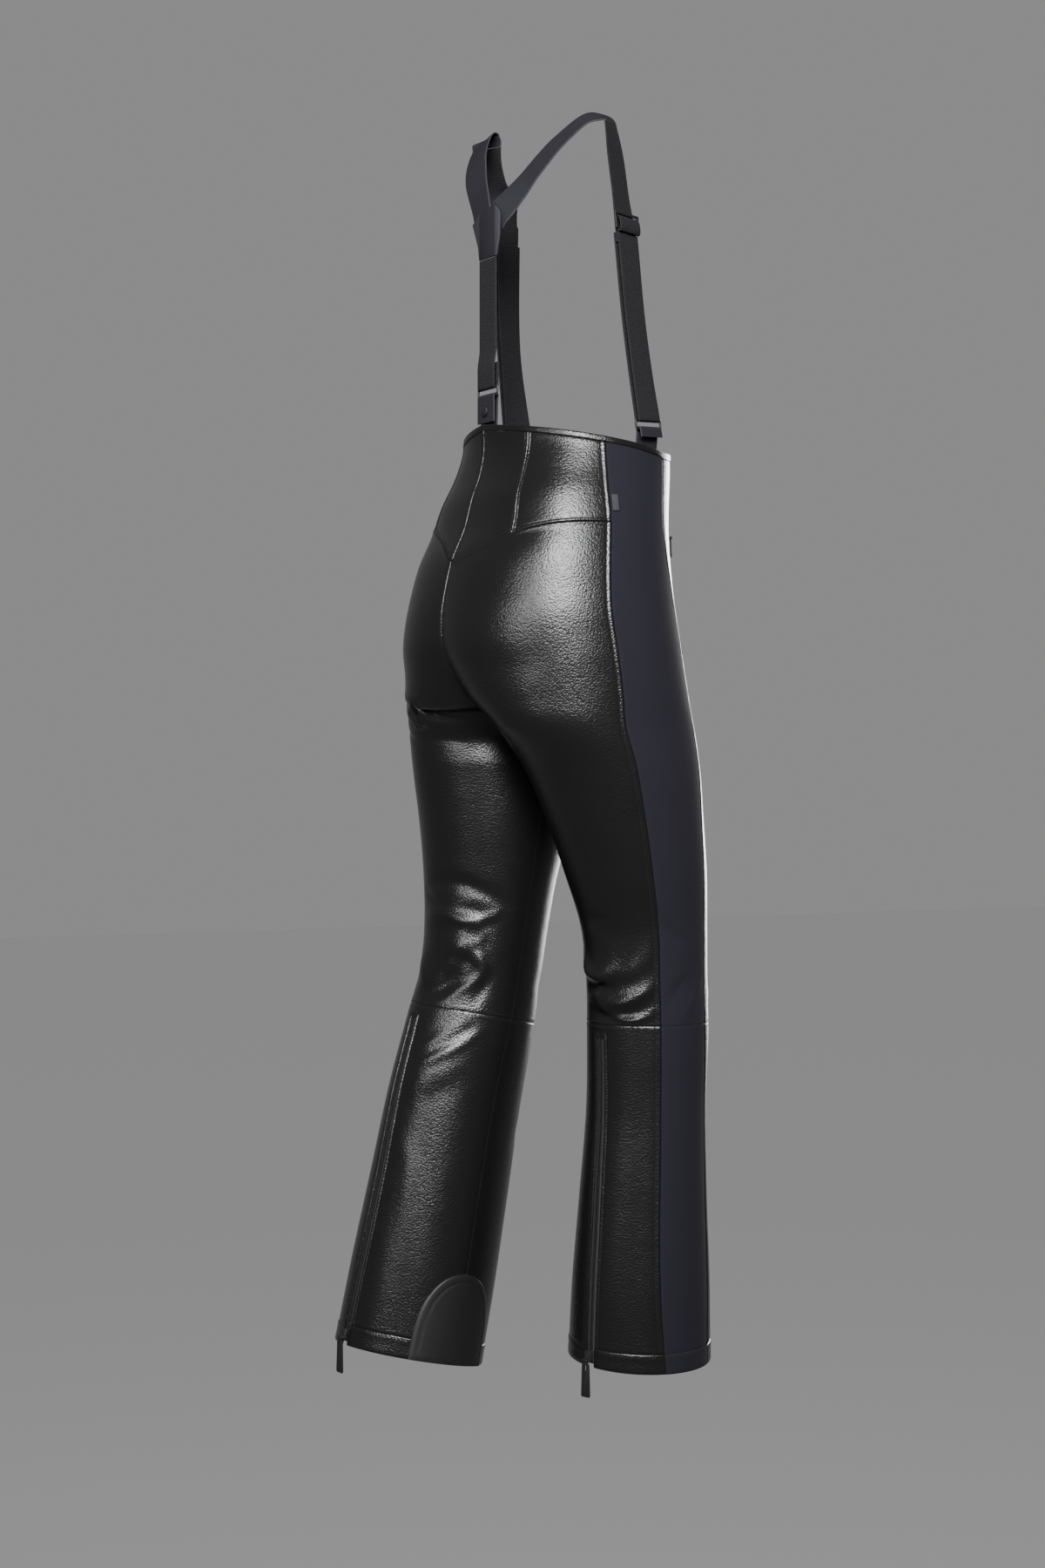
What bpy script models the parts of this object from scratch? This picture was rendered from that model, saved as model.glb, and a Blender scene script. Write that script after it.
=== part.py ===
"""Ski trousers with braces, worn and hollow: every cut piece is a thin wall on one common form.

Metres, +Z up. The front of the garment faces -Y and the wearer's left is +X.
The origin is the centre of the waist, where the wearer holds the trousers up.
"""
import math

import bmesh
import bpy
from mathutils import Vector

for old in list(bpy.data.objects):
    bpy.data.objects.remove(old, do_unlink=True)

# ---------------------------------------------------------------- driving sizes
RIGHT, LEFT = -1, 1
WORD = {RIGHT: "right", LEFT: "left"}

CLOTH = 0.0020            # bonded cloth with its brushed back
GAP = 0.0003              # between two pieces along a seam
LAY = 0.0004              # between a panel and what lies on it
TURN = 2.0 * math.pi

KNEE_SEAM = -0.607
HEM_SEAM = {RIGHT: -0.960, LEFT: -0.969}
HEM_EDGE = {RIGHT: -0.981, LEFT: -0.992}
CROTCH = -0.275
BINDING_HEIGHT = 0.0068

ZIP_SLOT_HALF = 0.0105    # half the width that shows between the stitched edges
CHAIN_HALF = 0.0032
FLY_BOTTOM = -0.151
FLY_SLOT_HALF = 0.0045

STRAP_WIDTH = 0.038
STRAP_THICK = 0.0016
TAB_THICK = 0.0014
TAB_INSIDE = 0.0060       # from the inner face of the waist to the middle of a tab
TAB_TURNED = 0.0090       # how far a front tab comes back down outside its ring
PATCH_THICK = 0.0026
BACK_RING_Z = 0.102

BINDING_PROUD = 0.0005
HEM_PROUD = 0.0004
TAPE_SUNK = 0.0006
TAPE_THICK = 0.0010
CHAIN_THICK = 0.0022
ZIP_END_ABOVE_HEM = 0.0040
CALF_SLIDER_ABOVE_HEM = 0.0120
POCKET_TOP, POCKET_BOTTOM = -0.068, -0.195
POCKET_HALF = 0.0042
FLY_SLIDER_OUT = 0.0012
GUARD_HEIGHT = 0.101
GUARD_HALF = 0.052
GUARD_OFF = 0.0013
GUARD_THICK = 0.0016

# ---------------------------------------------------------------- the worn form
# One row for each ring. outer and inner are how far the ring reaches from the middle
# plane; an inner reach below zero is cut off by that plane, which gives the centre seam.
# middle, front and back place the ring fore and aft. square fills out its back corners.
# stride moves the outer side of the left half back and of the right half forward.
# lean_back and lean_side tilt the ring.
COLUMNS = ("outer", "inner_front", "inner_back", "middle", "front", "back",
           "square", "stride", "lean_back", "lean_side")
TRUNK = [
    # height  outer  in_front in_back  middle  front  back  square stride lean  lean
    (0.070, 0.133, -0.133, -0.133, 0.001, 0.108, 0.112, 0.06, 0.000, 0.00, 0.00),
    (0.040, 0.136, -0.136, -0.134, 0.002, 0.108, 0.109, 0.14, 0.000, 0.00, 0.00),
    (0.010, 0.142, -0.142, -0.134, 0.005, 0.109, 0.111, 0.26, 0.000, 0.00, 0.00),
    (-0.020, 0.150, -0.150, -0.136, 0.011, 0.110, 0.116, 0.32, 0.001, 0.00, 0.00),
    (-0.055, 0.158, -0.156, -0.136, 0.018, 0.112, 0.119, 0.30, 0.003, 0.00, 0.00),
    (-0.090, 0.165, -0.159, -0.128, 0.023, 0.115, 0.130, 0.22, 0.005, 0.00, 0.00),
    (-0.125, 0.170, -0.157, -0.116, 0.025, 0.117, 0.138, 0.14, 0.007, 0.00, 0.00),
    (-0.155, 0.174, -0.150, -0.106, 0.025, 0.118, 0.144, 0.08, 0.008, 0.00, 0.00),
    (-0.185, 0.177, -0.133, -0.094, 0.024, 0.117, 0.146, 0.03, 0.010, 0.00, 0.00),
    (-0.215, 0.179, -0.100, -0.074, 0.023, 0.115, 0.140, 0.00, 0.011, 0.00, 0.00),
    (-0.245, 0.180, -0.052, -0.040, 0.021, 0.110, 0.134, 0.00, 0.012, 0.00, 0.00),
    (CROTCH, 0.180, 0.001, 0.001, 0.020, 0.106, 0.122, 0.00, 0.013, 0.00, 0.00),
]
LEG = {
    RIGHT: [
        (-0.320, 0.182, 0.005, 0.005, 0.003, 0.098, 0.102, 0.00, 0.008, 0.00, 0.00),
        (-0.380, 0.179, 0.009, 0.009, -0.017, 0.087, 0.090, 0.00, 0.002, 0.00, 0.00),
        (-0.440, 0.173, 0.015, 0.015, -0.031, 0.080, 0.080, 0.00, 0.000, 0.00, 0.00),
        (-0.500, 0.165, 0.023, 0.023, -0.042, 0.071, 0.071, 0.00, 0.000, 0.00, 0.00),
        (-0.560, 0.162, 0.026, 0.026, -0.046, 0.068, 0.068, 0.00, 0.000, 0.00, 0.00),
        (-0.620, 0.163, 0.025, 0.025, -0.047, 0.068, 0.068, 0.00, 0.000, 0.00, 0.00),
        (-0.700, 0.162, 0.026, 0.026, -0.045, 0.067, 0.067, 0.00, 0.000, 0.00, 0.00),
        (-0.800, 0.165, 0.023, 0.023, -0.041, 0.072, 0.072, 0.00, 0.000, 0.00, 0.00),
        (-0.900, 0.170, 0.018, 0.018, -0.038, 0.078, 0.078, 0.00, 0.000, 0.00, -0.03),
        (-0.985, 0.173, 0.015, 0.015, -0.036, 0.080, 0.080, 0.00, 0.000, 0.00, -0.08),
    ],
    LEFT: [
        (-0.320, 0.182, 0.005, 0.005, 0.031, 0.102, 0.107, 0.00, 0.008, 0.00, 0.00),
        (-0.380, 0.179, 0.009, 0.009, 0.041, 0.091, 0.092, 0.00, 0.002, 0.00, 0.00),
        (-0.440, 0.173, 0.015, 0.015, 0.049, 0.078, 0.080, 0.00, 0.000, 0.02, 0.00),
        (-0.500, 0.167, 0.021, 0.021, 0.055, 0.071, 0.073, 0.00, 0.000, 0.08, 0.00),
        (-0.560, 0.164, 0.024, 0.024, 0.063, 0.069, 0.070, 0.00, 0.000, 0.15, 0.00),
        (-0.620, 0.164, 0.024, 0.024, 0.077, 0.073, 0.074, 0.00, 0.000, 0.20, 0.00),
        (-0.700, 0.164, 0.024, 0.024, 0.097, 0.077, 0.078, 0.00, 0.000, 0.21, 0.00),
        (-0.800, 0.167, 0.021, 0.021, 0.118, 0.081, 0.081, 0.00, 0.000, 0.21, 0.00),
        (-0.900, 0.171, 0.017, 0.017, 0.138, 0.083, 0.085, 0.00, 0.000, 0.21, 0.00),
        (-0.990, 0.173, 0.015, 0.015, 0.156, 0.083, 0.087, 0.00, 0.000, 0.21, 0.00),
    ],
}
RINGS = {side: TRUNK + LEG[side] for side in (RIGHT, LEFT)}

# Seams that run down the garment: height, then the angle on the ring in degrees.
# 0 is the outer side, 90 the back, 180 the inner side, -90 the front.
BACK_SIDE_SEAM = [(0.04, 14), (-0.05, 9), (-0.15, 11), (-0.25, 12), (-0.35, 16),
                  (-0.45, 18), (-0.61, 20), (-0.76, 17), (-0.90, 15), (-1.00, 9)]
SIDE_FRONT_SEAM = [(0.04, -29), (-0.06, -30), (-0.14, -39), (-0.24, -50), (-0.31, -49),
                   (-0.43, -40), (-0.61, -36), (-0.70, -41), (-0.86, -42), (-1.00, -37)]
INSEAM = [(CROTCH, 180), (-0.32, 183), (-0.38, 186), (-0.45, 188), (-1.00, 188)]
ZIP_LINE = {
    RIGHT: [(-0.60, 84), (-0.70, 81), (-0.86, 76), (-1.00, 75)],
    LEFT: [(-0.60, 89), (-0.70, 93), (-0.86, 96), (-1.00, 94)],
}
POCKET_LINE = [(-0.05, -64), (-0.12, -59), (-0.21, -52)]
# Seams that run round the garment: angle in degrees, then height.
TOP_EDGE = [(-90, 0.036), (-50, 0.033), (-30, 0.031), (-14, 0.034), (0, 0.038),
            (16, 0.043), (54, 0.055), (90, 0.065)]
YOKE_SEAM = {
    RIGHT: [(-90, -0.054), (10, -0.054), (24, -0.054), (39, -0.057), (55, -0.064),
            (68, -0.071), (90, -0.087), (96, -0.090)],
    LEFT: [(-90, -0.052), (10, -0.047), (30, -0.043), (51, -0.045), (69, -0.058),
           (80, -0.068), (90, -0.082), (96, -0.090)],
}
PRINCESS_SHARE = 0.56     # where the princess seam divides the back, from side to centre

# The largest folds. Each runs from one point to another on the form, given as angle and
# height, bows sideways on its way, and rises (or sinks) by a named amount.
FOLD_COLUMNS = ("side", "angle_a", "height_a", "angle_b", "height_b", "bow", "width", "rise")
FOLDS = [
    (LEFT, 62, -0.246, 142, -0.258, 0.008, 0.006, -0.0048),
    (LEFT, 62, -0.238, 142, -0.250, 0.008, 0.006, 0.0028),
    (LEFT, 84, -0.268, 152, -0.270, 0.004, 0.010, 0.0024),
    (LEFT, 80, -0.460, 165, -0.478, -0.014, 0.009, -0.0034),
    (LEFT, 84, -0.500, 140, -0.505, -0.010, 0.010, 0.0036),
    (LEFT, 150, -0.505, 95, -0.590, 0.028, 0.010, -0.0040),
    (LEFT, 72, -0.545, 100, -0.578, 0.006, 0.012, 0.0040),
    (LEFT, 105, -0.660, 150, -0.618, 0.004, 0.008, 0.0024),
    (RIGHT, 92, -0.500, 62, -0.505, -0.008, 0.009, -0.0030),
    (RIGHT, 118, -0.535, 62, -0.553, 0.010, 0.011, 0.0055),
    (RIGHT, 112, -0.560, 50, -0.556, 0.006, 0.008, -0.0045),
    (RIGHT, 90, -0.578, 30, -0.560, 0.014, 0.009, 0.0045),
    (RIGHT, 96, -0.594, 40, -0.588, 0.004, 0.007, -0.0030),
    (RIGHT, 20, -0.478, -8, -0.518, 0.004, 0.010, -0.0026),
    (RIGHT, -30, -0.535, 14, -0.590, -0.006, 0.009, -0.0026),
    (LEFT, -40, -0.545, 10, -0.590, -0.006, 0.010, -0.0028),
    (LEFT, -120, -0.300, -60, -0.345, 0.010, 0.012, -0.0030),
    (RIGHT, -130, -0.290, -60, -0.262, 0.010, 0.012, -0.0036),
    (RIGHT, -140, -0.315, -75, -0.318, 0.008, 0.012, -0.0028),
    (LEFT, -75, -0.580, -130, -0.560, 0.006, 0.012, -0.0026),
]
FOLD_STEPS = 8

# ---------------------------------------------------------------- materials
# name: colour, roughness, metallic
FINISH = {
    "leather": ((0.012, 0.012, 0.013, 1.0), 0.34, 0.0),
    "stretch": ((0.010, 0.012, 0.020, 1.0), 0.80, 0.0),
    "webbing": ((0.020, 0.024, 0.038, 1.0), 0.75, 0.0),
    "elastic": ((0.012, 0.012, 0.013, 1.0), 0.85, 0.0),
    "hardware": ((0.015, 0.015, 0.016, 1.0), 0.35, 0.8),
    "tape": ((0.010, 0.010, 0.011, 1.0), 0.70, 0.0),
    "rubber": ((0.011, 0.011, 0.012, 1.0), 0.55, 0.0),
}


def finish(name):
    """The material of that name, made the first time it is asked for."""
    if name in bpy.data.materials:
        return bpy.data.materials[name]
    colour, roughness, metallic = FINISH[name]
    material = bpy.data.materials.new(name)
    material.use_nodes = True
    shader = material.node_tree.nodes["Principled BSDF"]
    shader.inputs["Base Color"].default_value = colour
    shader.inputs["Roughness"].default_value = roughness
    shader.inputs["Metallic"].default_value = metallic
    return material


# ---------------------------------------------------------------- reading the tables
def along(rows, at):
    """Every column of a table at the value of its first column, on a smooth curve."""
    step = 1 if rows[-1][0] > rows[0][0] else -1
    last = len(rows) - 2
    k = 0
    while k < last and (at - rows[k + 1][0]) * step > 0:
        k += 1
    start, end = rows[k], rows[k + 1]
    span = end[0] - start[0]
    t = (at - start[0]) / span
    values = []
    for c in range(1, len(start)):
        slope = (end[c] - start[c]) / span
        slope_in = slope
        slope_out = slope
        if k > 0:
            before = rows[k - 1]
            slope_in = 0.5 * (slope + (start[c] - before[c]) / (start[0] - before[0]))
        if k < last:
            after = rows[k + 2]
            slope_out = 0.5 * (slope + (after[c] - end[c]) / (after[0] - end[0]))
        slope_in *= span
        slope_out *= span
        if t < 0.0:
            values.append(start[c] + slope_in * t)
        elif t > 1.0:
            values.append(end[c] + slope_out * (t - 1.0))
        else:
            t2 = t * t
            t3 = t2 * t
            values.append((2 * t3 - 3 * t2 + 1) * start[c] + (t3 - 2 * t2 + t) * slope_in
                          + (3 * t2 - 2 * t3) * end[c] + (t3 - t2) * slope_out)
    return values


def seam_angle(rows, height):
    """Angle in radians of a seam that runs down the garment."""
    return math.radians(along(rows, height)[0])


def level(rows, angle):
    """Height of a seam that runs round the garment, the same past the centre seams."""
    degrees = min(max(math.degrees(angle), rows[0][0]), rows[-1][0])
    return along(rows, degrees)[0]


def form(side, height, angle):
    """A point of the plain worn form, before its folds."""
    ring = dict(zip(COLUMNS, along(RINGS[side], height)))
    behind = math.sin(angle) > 0.0
    inner = ring["inner_back"] if behind else ring["inner_front"]
    depth = ring["back"] if behind else ring["front"]
    square = ring["square"] if behind else 0.0
    centre = 0.5 * (ring["outer"] + inner)
    half = 0.5 * (ring["outer"] - inner)
    c, s = math.cos(angle), math.sin(angle)
    x = centre + half * c
    y = ring["middle"] + depth * s * (1.0 + square * c * c)
    y += side * ring["stride"] * x / ring["outer"]
    tilt = ring["lean_back"] * depth * s + ring["lean_side"] * half * c
    return Vector((side * x, y, height + tilt))


def outward(side, height, angle):
    """The outward direction of the form, and how far a radian and a metre of height move."""
    small_angle, small_height = 0.002, 0.0004
    round_it = form(side, height, angle + small_angle) - form(side, height, angle - small_angle)
    up_it = form(side, height + small_height, angle) - form(side, height - small_height, angle)
    normal = round_it.cross(up_it) * side
    return (normal.normalized(), round_it.length / (2 * small_angle),
            up_it.length / (2 * small_height))


def centre_angle(side, height, from_middle, front=False):
    """Angle at which a ring comes within a distance of the middle plane, or the inseam's."""
    ring = dict(zip(COLUMNS, along(RINGS[side], height)))
    inner = ring["inner_front"] if front else ring["inner_back"]
    if inner < from_middle and height > CROTCH:
        centre = 0.5 * (ring["outer"] + inner)
        half = 0.5 * (ring["outer"] - inner)
        found = math.acos(max(-1.0, min(1.0, (from_middle - centre) / half)))
        return -found if front else found
    inseam = seam_angle(INSEAM, height)
    return inseam - TURN if front else inseam


def fold_paths():
    """Each fold as a row of points on the form, with its width and rise."""
    paths = []
    for row in FOLDS:
        fold = dict(zip(FOLD_COLUMNS, row))
        points = []
        for i in range(FOLD_STEPS + 1):
            t = i / FOLD_STEPS
            degrees = fold["angle_a"] + (fold["angle_b"] - fold["angle_a"]) * t
            height = fold["height_a"] + (fold["height_b"] - fold["height_a"]) * t
            height -= fold["bow"] * math.sin(math.pi * t)
            points.append(form(fold["side"], height, math.radians(degrees)))
        paths.append((fold["side"], points, fold["width"], fold["rise"]))
    return paths


PATHS = fold_paths()


def fold_rise(side, place):
    """How far the folds lift the cloth at a point of the plain form."""
    rise = 0.0
    for fold_side, points, width, height in PATHS:
        if fold_side != side or (points[FOLD_STEPS // 2] - place).length > 0.13:
            continue
        nearest, share = 1.0, 0.0
        for i in range(FOLD_STEPS):
            a, b = points[i], points[i + 1]
            run = b - a
            t = max(0.0, min(1.0, (place - a).dot(run) / run.length_squared))
            distance = (a + run * t - place).length
            if distance < nearest:
                nearest, share = distance, (i + t) / FOLD_STEPS
        fade = math.sin(math.pi * (0.08 + 0.84 * share))
        rise += height * fade * math.exp(-(nearest / width) ** 2)
    return rise


def skin(side, height, angle):
    """A point of the outer face of the cloth."""
    place = form(side, height, angle)
    return place + outward(side, height, angle)[0] * fold_rise(side, place)


# ---------------------------------------------------------------- meshes
def keep_mesh(name, points, faces, material, smooth=True):
    """An object of that name from points and faces, its faces turned outward."""
    mesh = bpy.data.meshes.new(name)
    mesh.from_pydata([tuple(p) for p in points], [], faces)
    work = bmesh.new()
    work.from_mesh(mesh)
    bmesh.ops.recalc_face_normals(work, faces=work.faces)
    work.to_mesh(mesh)
    work.free()
    mesh.materials.append(finish(material))
    thing = bpy.data.objects.new(name, mesh)
    bpy.context.scene.collection.objects.link(thing)
    if smooth:
        mesh.shade_smooth()
        mesh.set_sharp_from_angle(angle=math.radians(40))
    return thing


def wall(name, outer, inner, material, keep=None):
    """A thin closed wall between two grids of points; keep says which cells are cloth."""
    rows, columns = len(outer), len(outer[0])
    points = [p for row in outer for p in row] + [p for row in inner for p in row]
    shift = rows * columns

    def at(j, i):
        return j * columns + i

    cells = {(j, i) for j in range(rows - 1) for i in range(columns - 1)
             if keep is None or keep(j, i)}
    faces = []
    for j, i in sorted(cells):
        a, b, c, d = at(j, i), at(j, i + 1), at(j + 1, i + 1), at(j + 1, i)
        # Both faces are split on the same, shorter diagonal, so they can't cross.
        if (points[a] - points[c]).length < (points[b] - points[d]).length:
            halves = ((a, b, c), (a, c, d))
        else:
            halves = ((a, b, d), (b, c, d))
        for half in halves:
            faces.append(half)
            faces.append(tuple(k + shift for k in reversed(half)))
        sides = {(j - 1, i): (a, b), (j + 1, i): (c, d), (j, i + 1): (b, c), (j, i - 1): (d, a)}
        for neighbour, (p, q) in sides.items():
            if neighbour not in cells:
                faces.append((q, p, p + shift, q + shift))
    used = sorted({k for face in faces for k in face})
    place = {k: n for n, k in enumerate(used)}
    return keep_mesh(name, [points[k] for k in used],
                     [tuple(place[k] for k in face) for face in faces], material)


def spread(count):
    """Even shares from 0 to 1."""
    return [i / count for i in range(count + 1)]


# Shares of each band between two levels, from the lower to the upper one.
LEVELS = ("hem", "hem_seam", "knee", "crotch", "yoke", "top_seam", "top")
BAND_ROWS = {
    "hem": spread(1),
    "hem_seam": [0.0, 0.12, 0.25, 0.38, 0.51, 0.64, 0.76, 0.86, 0.93, 0.961, 1.0],
    "knee": [0.0, 0.04, 0.08, 0.12, 0.16, 0.20, 0.25, 0.30, 0.36, 0.44, 0.54, 0.64, 0.74,
             0.83, 0.88, 0.92, 0.96, 1.0],
    "crotch": [0.0, 0.02, 0.06, 0.12, 0.19, 0.30, 0.43, 0.57, 0.71, 0.86, 1.0],
    "yoke": spread(3),
    "top_seam": spread(1),
}


def level_height(name, side, angle):
    """Height of a named level at an angle."""
    if name == "hem":
        return HEM_EDGE[side]
    if name == "hem_seam":
        return HEM_SEAM[side]
    if name == "knee":
        return KNEE_SEAM
    if name == "crotch":
        return CROTCH
    if name == "yoke":
        return level(YOKE_SEAM[side], angle)
    top = level(TOP_EDGE, angle)
    return top if name == "top" else top - BINDING_HEIGHT


def levels_between(low, high):
    """The rows of nodes from one level to another: the level below, above, and the share."""
    found = []
    for k in range(LEVELS.index(low), LEVELS.index(high)):
        shares = BAND_ROWS[LEVELS[k]]
        for share in shares if not found else shares[1:]:
            found.append((LEVELS[k], LEVELS[k + 1], share))
    return found


def node(side, row, angle_at, share, trim, centre_end=False):
    """Height and angle of a grid node, the seam gap taken off where trim says (side, up)."""
    low, high, part = row
    height = level_height(low, side, 0.0)
    angle = angle_at(height, share)
    for _ in range(8):
        bottom = level_height(low, side, angle)
        height = bottom + (level_height(high, side, angle) - bottom) * part
        angle = angle_at(height, share)
    _, per_radian, per_metre = outward(side, height, angle)
    height += trim[1] * 0.5 * GAP / per_metre
    angle = angle_at(height, share)
    if not (centre_end and height > CROTCH):
        angle += trim[0] * 0.5 * GAP / per_radian
    return height, angle


def panel(name, side, angle_at, shares, low, high, material, keep=None,
          centre_end=False, thick=CLOTH, raised=0.0):
    """A cut piece between two seams and two levels, as a wall on the form.

    centre_end says that its last column meets the other half at the middle plane.
    """
    rows = levels_between(low, high)
    last = len(shares) - 1
    turn = math.copysign(1.0, angle_at(KNEE_SEAM, shares[-1]) - angle_at(KNEE_SEAM, shares[0]))
    outer, inner = [], []
    for j, row in enumerate(rows):
        up = 1 if j == 0 else -1 if j == len(rows) - 1 else 0
        line_out, line_in = [], []
        for i, share in enumerate(shares):
            across = turn if i == 0 else -turn if i == last else 0
            height, angle = node(side, row, angle_at, share, (across, up),
                                 centre_end and i == last)
            face = skin(side, height, angle)
            normal = outward(side, height, angle)[0]
            line_out.append(face + normal * raised)
            line_in.append(face - normal * thick)
        outer.append(line_out)
        inner.append(line_in)
    return wall(name, outer, inner, material, keep)


def strip(name, side, heights, angles_at, columns, low_out, high_out, material):
    """A band that lies on the form between two distances out; angles_at gives its edges."""
    outer, inner = [], []
    for height in heights:
        start, end = angles_at(height)
        line_out, line_in = [], []
        for share in spread(columns):
            angle = start + (end - start) * share
            normal = outward(side, height, angle)[0]
            face = skin(side, height, angle)
            line_out.append(face + normal * high_out)
            line_in.append(face + normal * low_out)
        outer.append(line_out)
        inner.append(line_in)
    return wall(name, outer, inner, material)


# ---------------------------------------------------------------- the cut, seam by seam
def knee_share(side, angle):
    """Share of the back, from side seam to inseam, of an angle at the knee."""
    start = seam_angle(BACK_SIDE_SEAM, KNEE_SEAM)
    return (angle - start) / (seam_angle(INSEAM, KNEE_SEAM) - start)


def zip_angles(side, height, half):
    """The two angles of the calf zip's edges at a height, a half width either side."""
    middle = seam_angle(ZIP_LINE[side], height)
    per_radian = outward(side, height, middle)[1]
    return middle - half / per_radian, middle + half / per_radian


def back_shares(side):
    """Shares of the back's columns: side seam, zip edges, princess seam, centre."""
    near, far = (knee_share(side, a) for a in zip_angles(side, KNEE_SEAM, ZIP_SLOT_HALF))
    first = [near * i / 4 for i in range(4)]
    second = [near, 0.5 * (near + far)]
    third = [far, 0.5 * (far + PRINCESS_SHARE)]
    last = [PRINCESS_SHARE + (1.0 - PRINCESS_SHARE) * i / 5 for i in range(6)]
    return first + second + third + last


def back_angle(side):
    """Angle across the back, from the side seam to the centre seam or inseam."""
    def angle_at(height, share):
        start = seam_angle(BACK_SIDE_SEAM, height)
        end = centre_angle(side, height, 0.5 * GAP)
        return start + (end - start) * share
    return angle_at


def calf_angle(side):
    """Angle across the lower back, held to the zip's edges on the way."""
    near, far = (knee_share(side, a) for a in zip_angles(side, KNEE_SEAM, ZIP_SLOT_HALF))

    def angle_at(height, share):
        start, end = seam_angle(BACK_SIDE_SEAM, height), seam_angle(INSEAM, height)
        edge_near, edge_far = zip_angles(side, height, ZIP_SLOT_HALF)
        if share <= near:
            return start + (edge_near - start) * share / near
        if share <= far:
            return edge_near + (edge_far - edge_near) * (share - near) / (far - near)
        return edge_far + (end - edge_far) * (share - far) / (1.0 - far)
    return angle_at


def side_angle(height, share):
    """Angle across the stretch panel, from the back seam to the front seam."""
    start, end = seam_angle(BACK_SIDE_SEAM, height), seam_angle(SIDE_FRONT_SEAM, height)
    return start + (end - start) * share


def fly_half(height):
    """Half the opening at the centre front: the zip's slot above, the seam below."""
    return FLY_SLOT_HALF if height > FLY_BOTTOM else 0.5 * GAP


def front_angle(side):
    """Angle across the front, from the side seam to the centre front or inseam."""
    def angle_at(height, share):
        start = seam_angle(SIDE_FRONT_SEAM, height)
        end = centre_angle(side, height, fly_half(height), front=True)
        return start + (end - start) * share
    return angle_at


SIDE_SHARES = spread(3)
FRONT_SHARES = spread(7)


def trunk_ring(side):
    """Angle round one half at the waist: the back, the side panel, then the front."""
    back, front = back_angle(side), front_angle(side)

    def angle_at(height, share):
        if share <= 1.0:
            return back(height, 1.0 - share)
        if share <= 2.0:
            return side_angle(height, share - 1.0)
        return front(height, share - 2.0)
    return angle_at


def ankle_ring(side):
    """Angle round the ankle, from one edge of the zip past the front to its other edge."""
    calf, front = calf_angle(side), front_angle(side)
    near, far = (knee_share(side, a) for a in zip_angles(side, KNEE_SEAM, ZIP_SLOT_HALF))

    def angle_at(height, share):
        if share <= 1.0:
            return calf(height, near * (1.0 - share))
        if share <= 2.0:
            return side_angle(height, share - 1.0)
        if share <= 3.0:
            return front(height, share - 2.0)
        return calf(height, 1.0 - (1.0 - far) * (share - 3.0)) - TURN
    return angle_at


def build_panels():
    """The leather and stretch pieces of both halves, with the binding and the hem bands."""
    for side in (RIGHT, LEFT):
        word = WORD[side]
        shares = back_shares(side)
        princess = shares.index(PRINCESS_SHARE)
        back, calf, front = back_angle(side), calf_angle(side), front_angle(side)
        panel(f"yoke_side_{word}", side, back, shares[:princess + 1], "yoke", "top_seam",
              "leather")
        panel(f"yoke_centre_{word}", side, back, shares[princess:], "yoke", "top_seam",
              "leather", centre_end=True)
        panel(f"back_upper_{word}", side, back, shares, "knee", "yoke", "leather",
              centre_end=True)
        panel(f"side_upper_{word}", side, side_angle, SIDE_SHARES, "knee", "top_seam", "stretch")
        panel(f"front_upper_{word}", side, front, FRONT_SHARES, "knee", "top_seam", "leather",
              centre_end=True)
        panel(f"side_lower_{word}", side, side_angle, SIDE_SHARES, "hem_seam", "knee", "stretch")
        panel(f"front_lower_{word}", side, front, FRONT_SHARES, "hem_seam", "knee", "leather")

        near, far = (knee_share(side, a) for a in zip_angles(side, KNEE_SEAM, ZIP_SLOT_HALF))
        first, last = shares.index(near), shares.index(far)
        top_row = len(levels_between("hem_seam", "knee")) - 2

        def is_cloth(j, i, first=first, last=last, stop=top_row):
            return j >= stop or not first <= i < last

        panel(f"back_lower_{word}", side, calf, shares, "hem_seam", "knee", "leather",
              keep=is_cloth)

        waist = [1.0 - share for share in reversed(shares)]
        waist += [1.0 + share for share in SIDE_SHARES[1:]]
        waist += [2.0 + share for share in FRONT_SHARES[1:]]
        panel(f"waist_binding_{word}", side, trunk_ring(side), waist, "top_seam", "top",
              "leather", centre_end=True, thick=CLOTH + BINDING_PROUD, raised=BINDING_PROUD)

        ankle = [1.0 - share / near for share in reversed(shares[:first + 1])]
        ankle += [1.0 + share for share in SIDE_SHARES[1:]]
        ankle += [2.0 + share for share in FRONT_SHARES[1:]]
        ankle += [3.0 + (1.0 - share) / (1.0 - far) for share in reversed(shares[last:-1])]
        panel(f"hem_band_{word}", side, ankle_ring(side), ankle, "hem", "hem_seam", "leather",
              thick=CLOTH + HEM_PROUD, raised=HEM_PROUD)


# ---------------------------------------------------------------- zips
def zip_heights(side):
    """Heights of a calf zip's rows: those of the panel beside it, from the hem to its top."""
    low, high = HEM_SEAM[side], KNEE_SEAM
    rows = [low + (high - low) * share for share in BAND_ROWS["hem_seam"][:-1]]
    rows[-1] -= GAP
    return [HEM_EDGE[side] + ZIP_END_ABOVE_HEM] + rows


def build_calf_zips():
    """Tape and chain of each calf zip, lying in the slot of the lower back."""
    for side in (RIGHT, LEFT):
        word = WORD[side]

        def tape(height, side=side):
            return zip_angles(side, height, ZIP_SLOT_HALF - GAP)

        def chain(height, side=side):
            return zip_angles(side, height, CHAIN_HALF)

        strip(f"calf_zip_tape_{word}", side, zip_heights(side), tape, 2,
              -TAPE_SUNK - TAPE_THICK, -TAPE_SUNK, "tape")
        strip(f"calf_zip_chain_{word}", side, zip_heights(side), chain, 1,
              -TAPE_SUNK + GAP, -TAPE_SUNK + GAP + CHAIN_THICK, "hardware")


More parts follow.
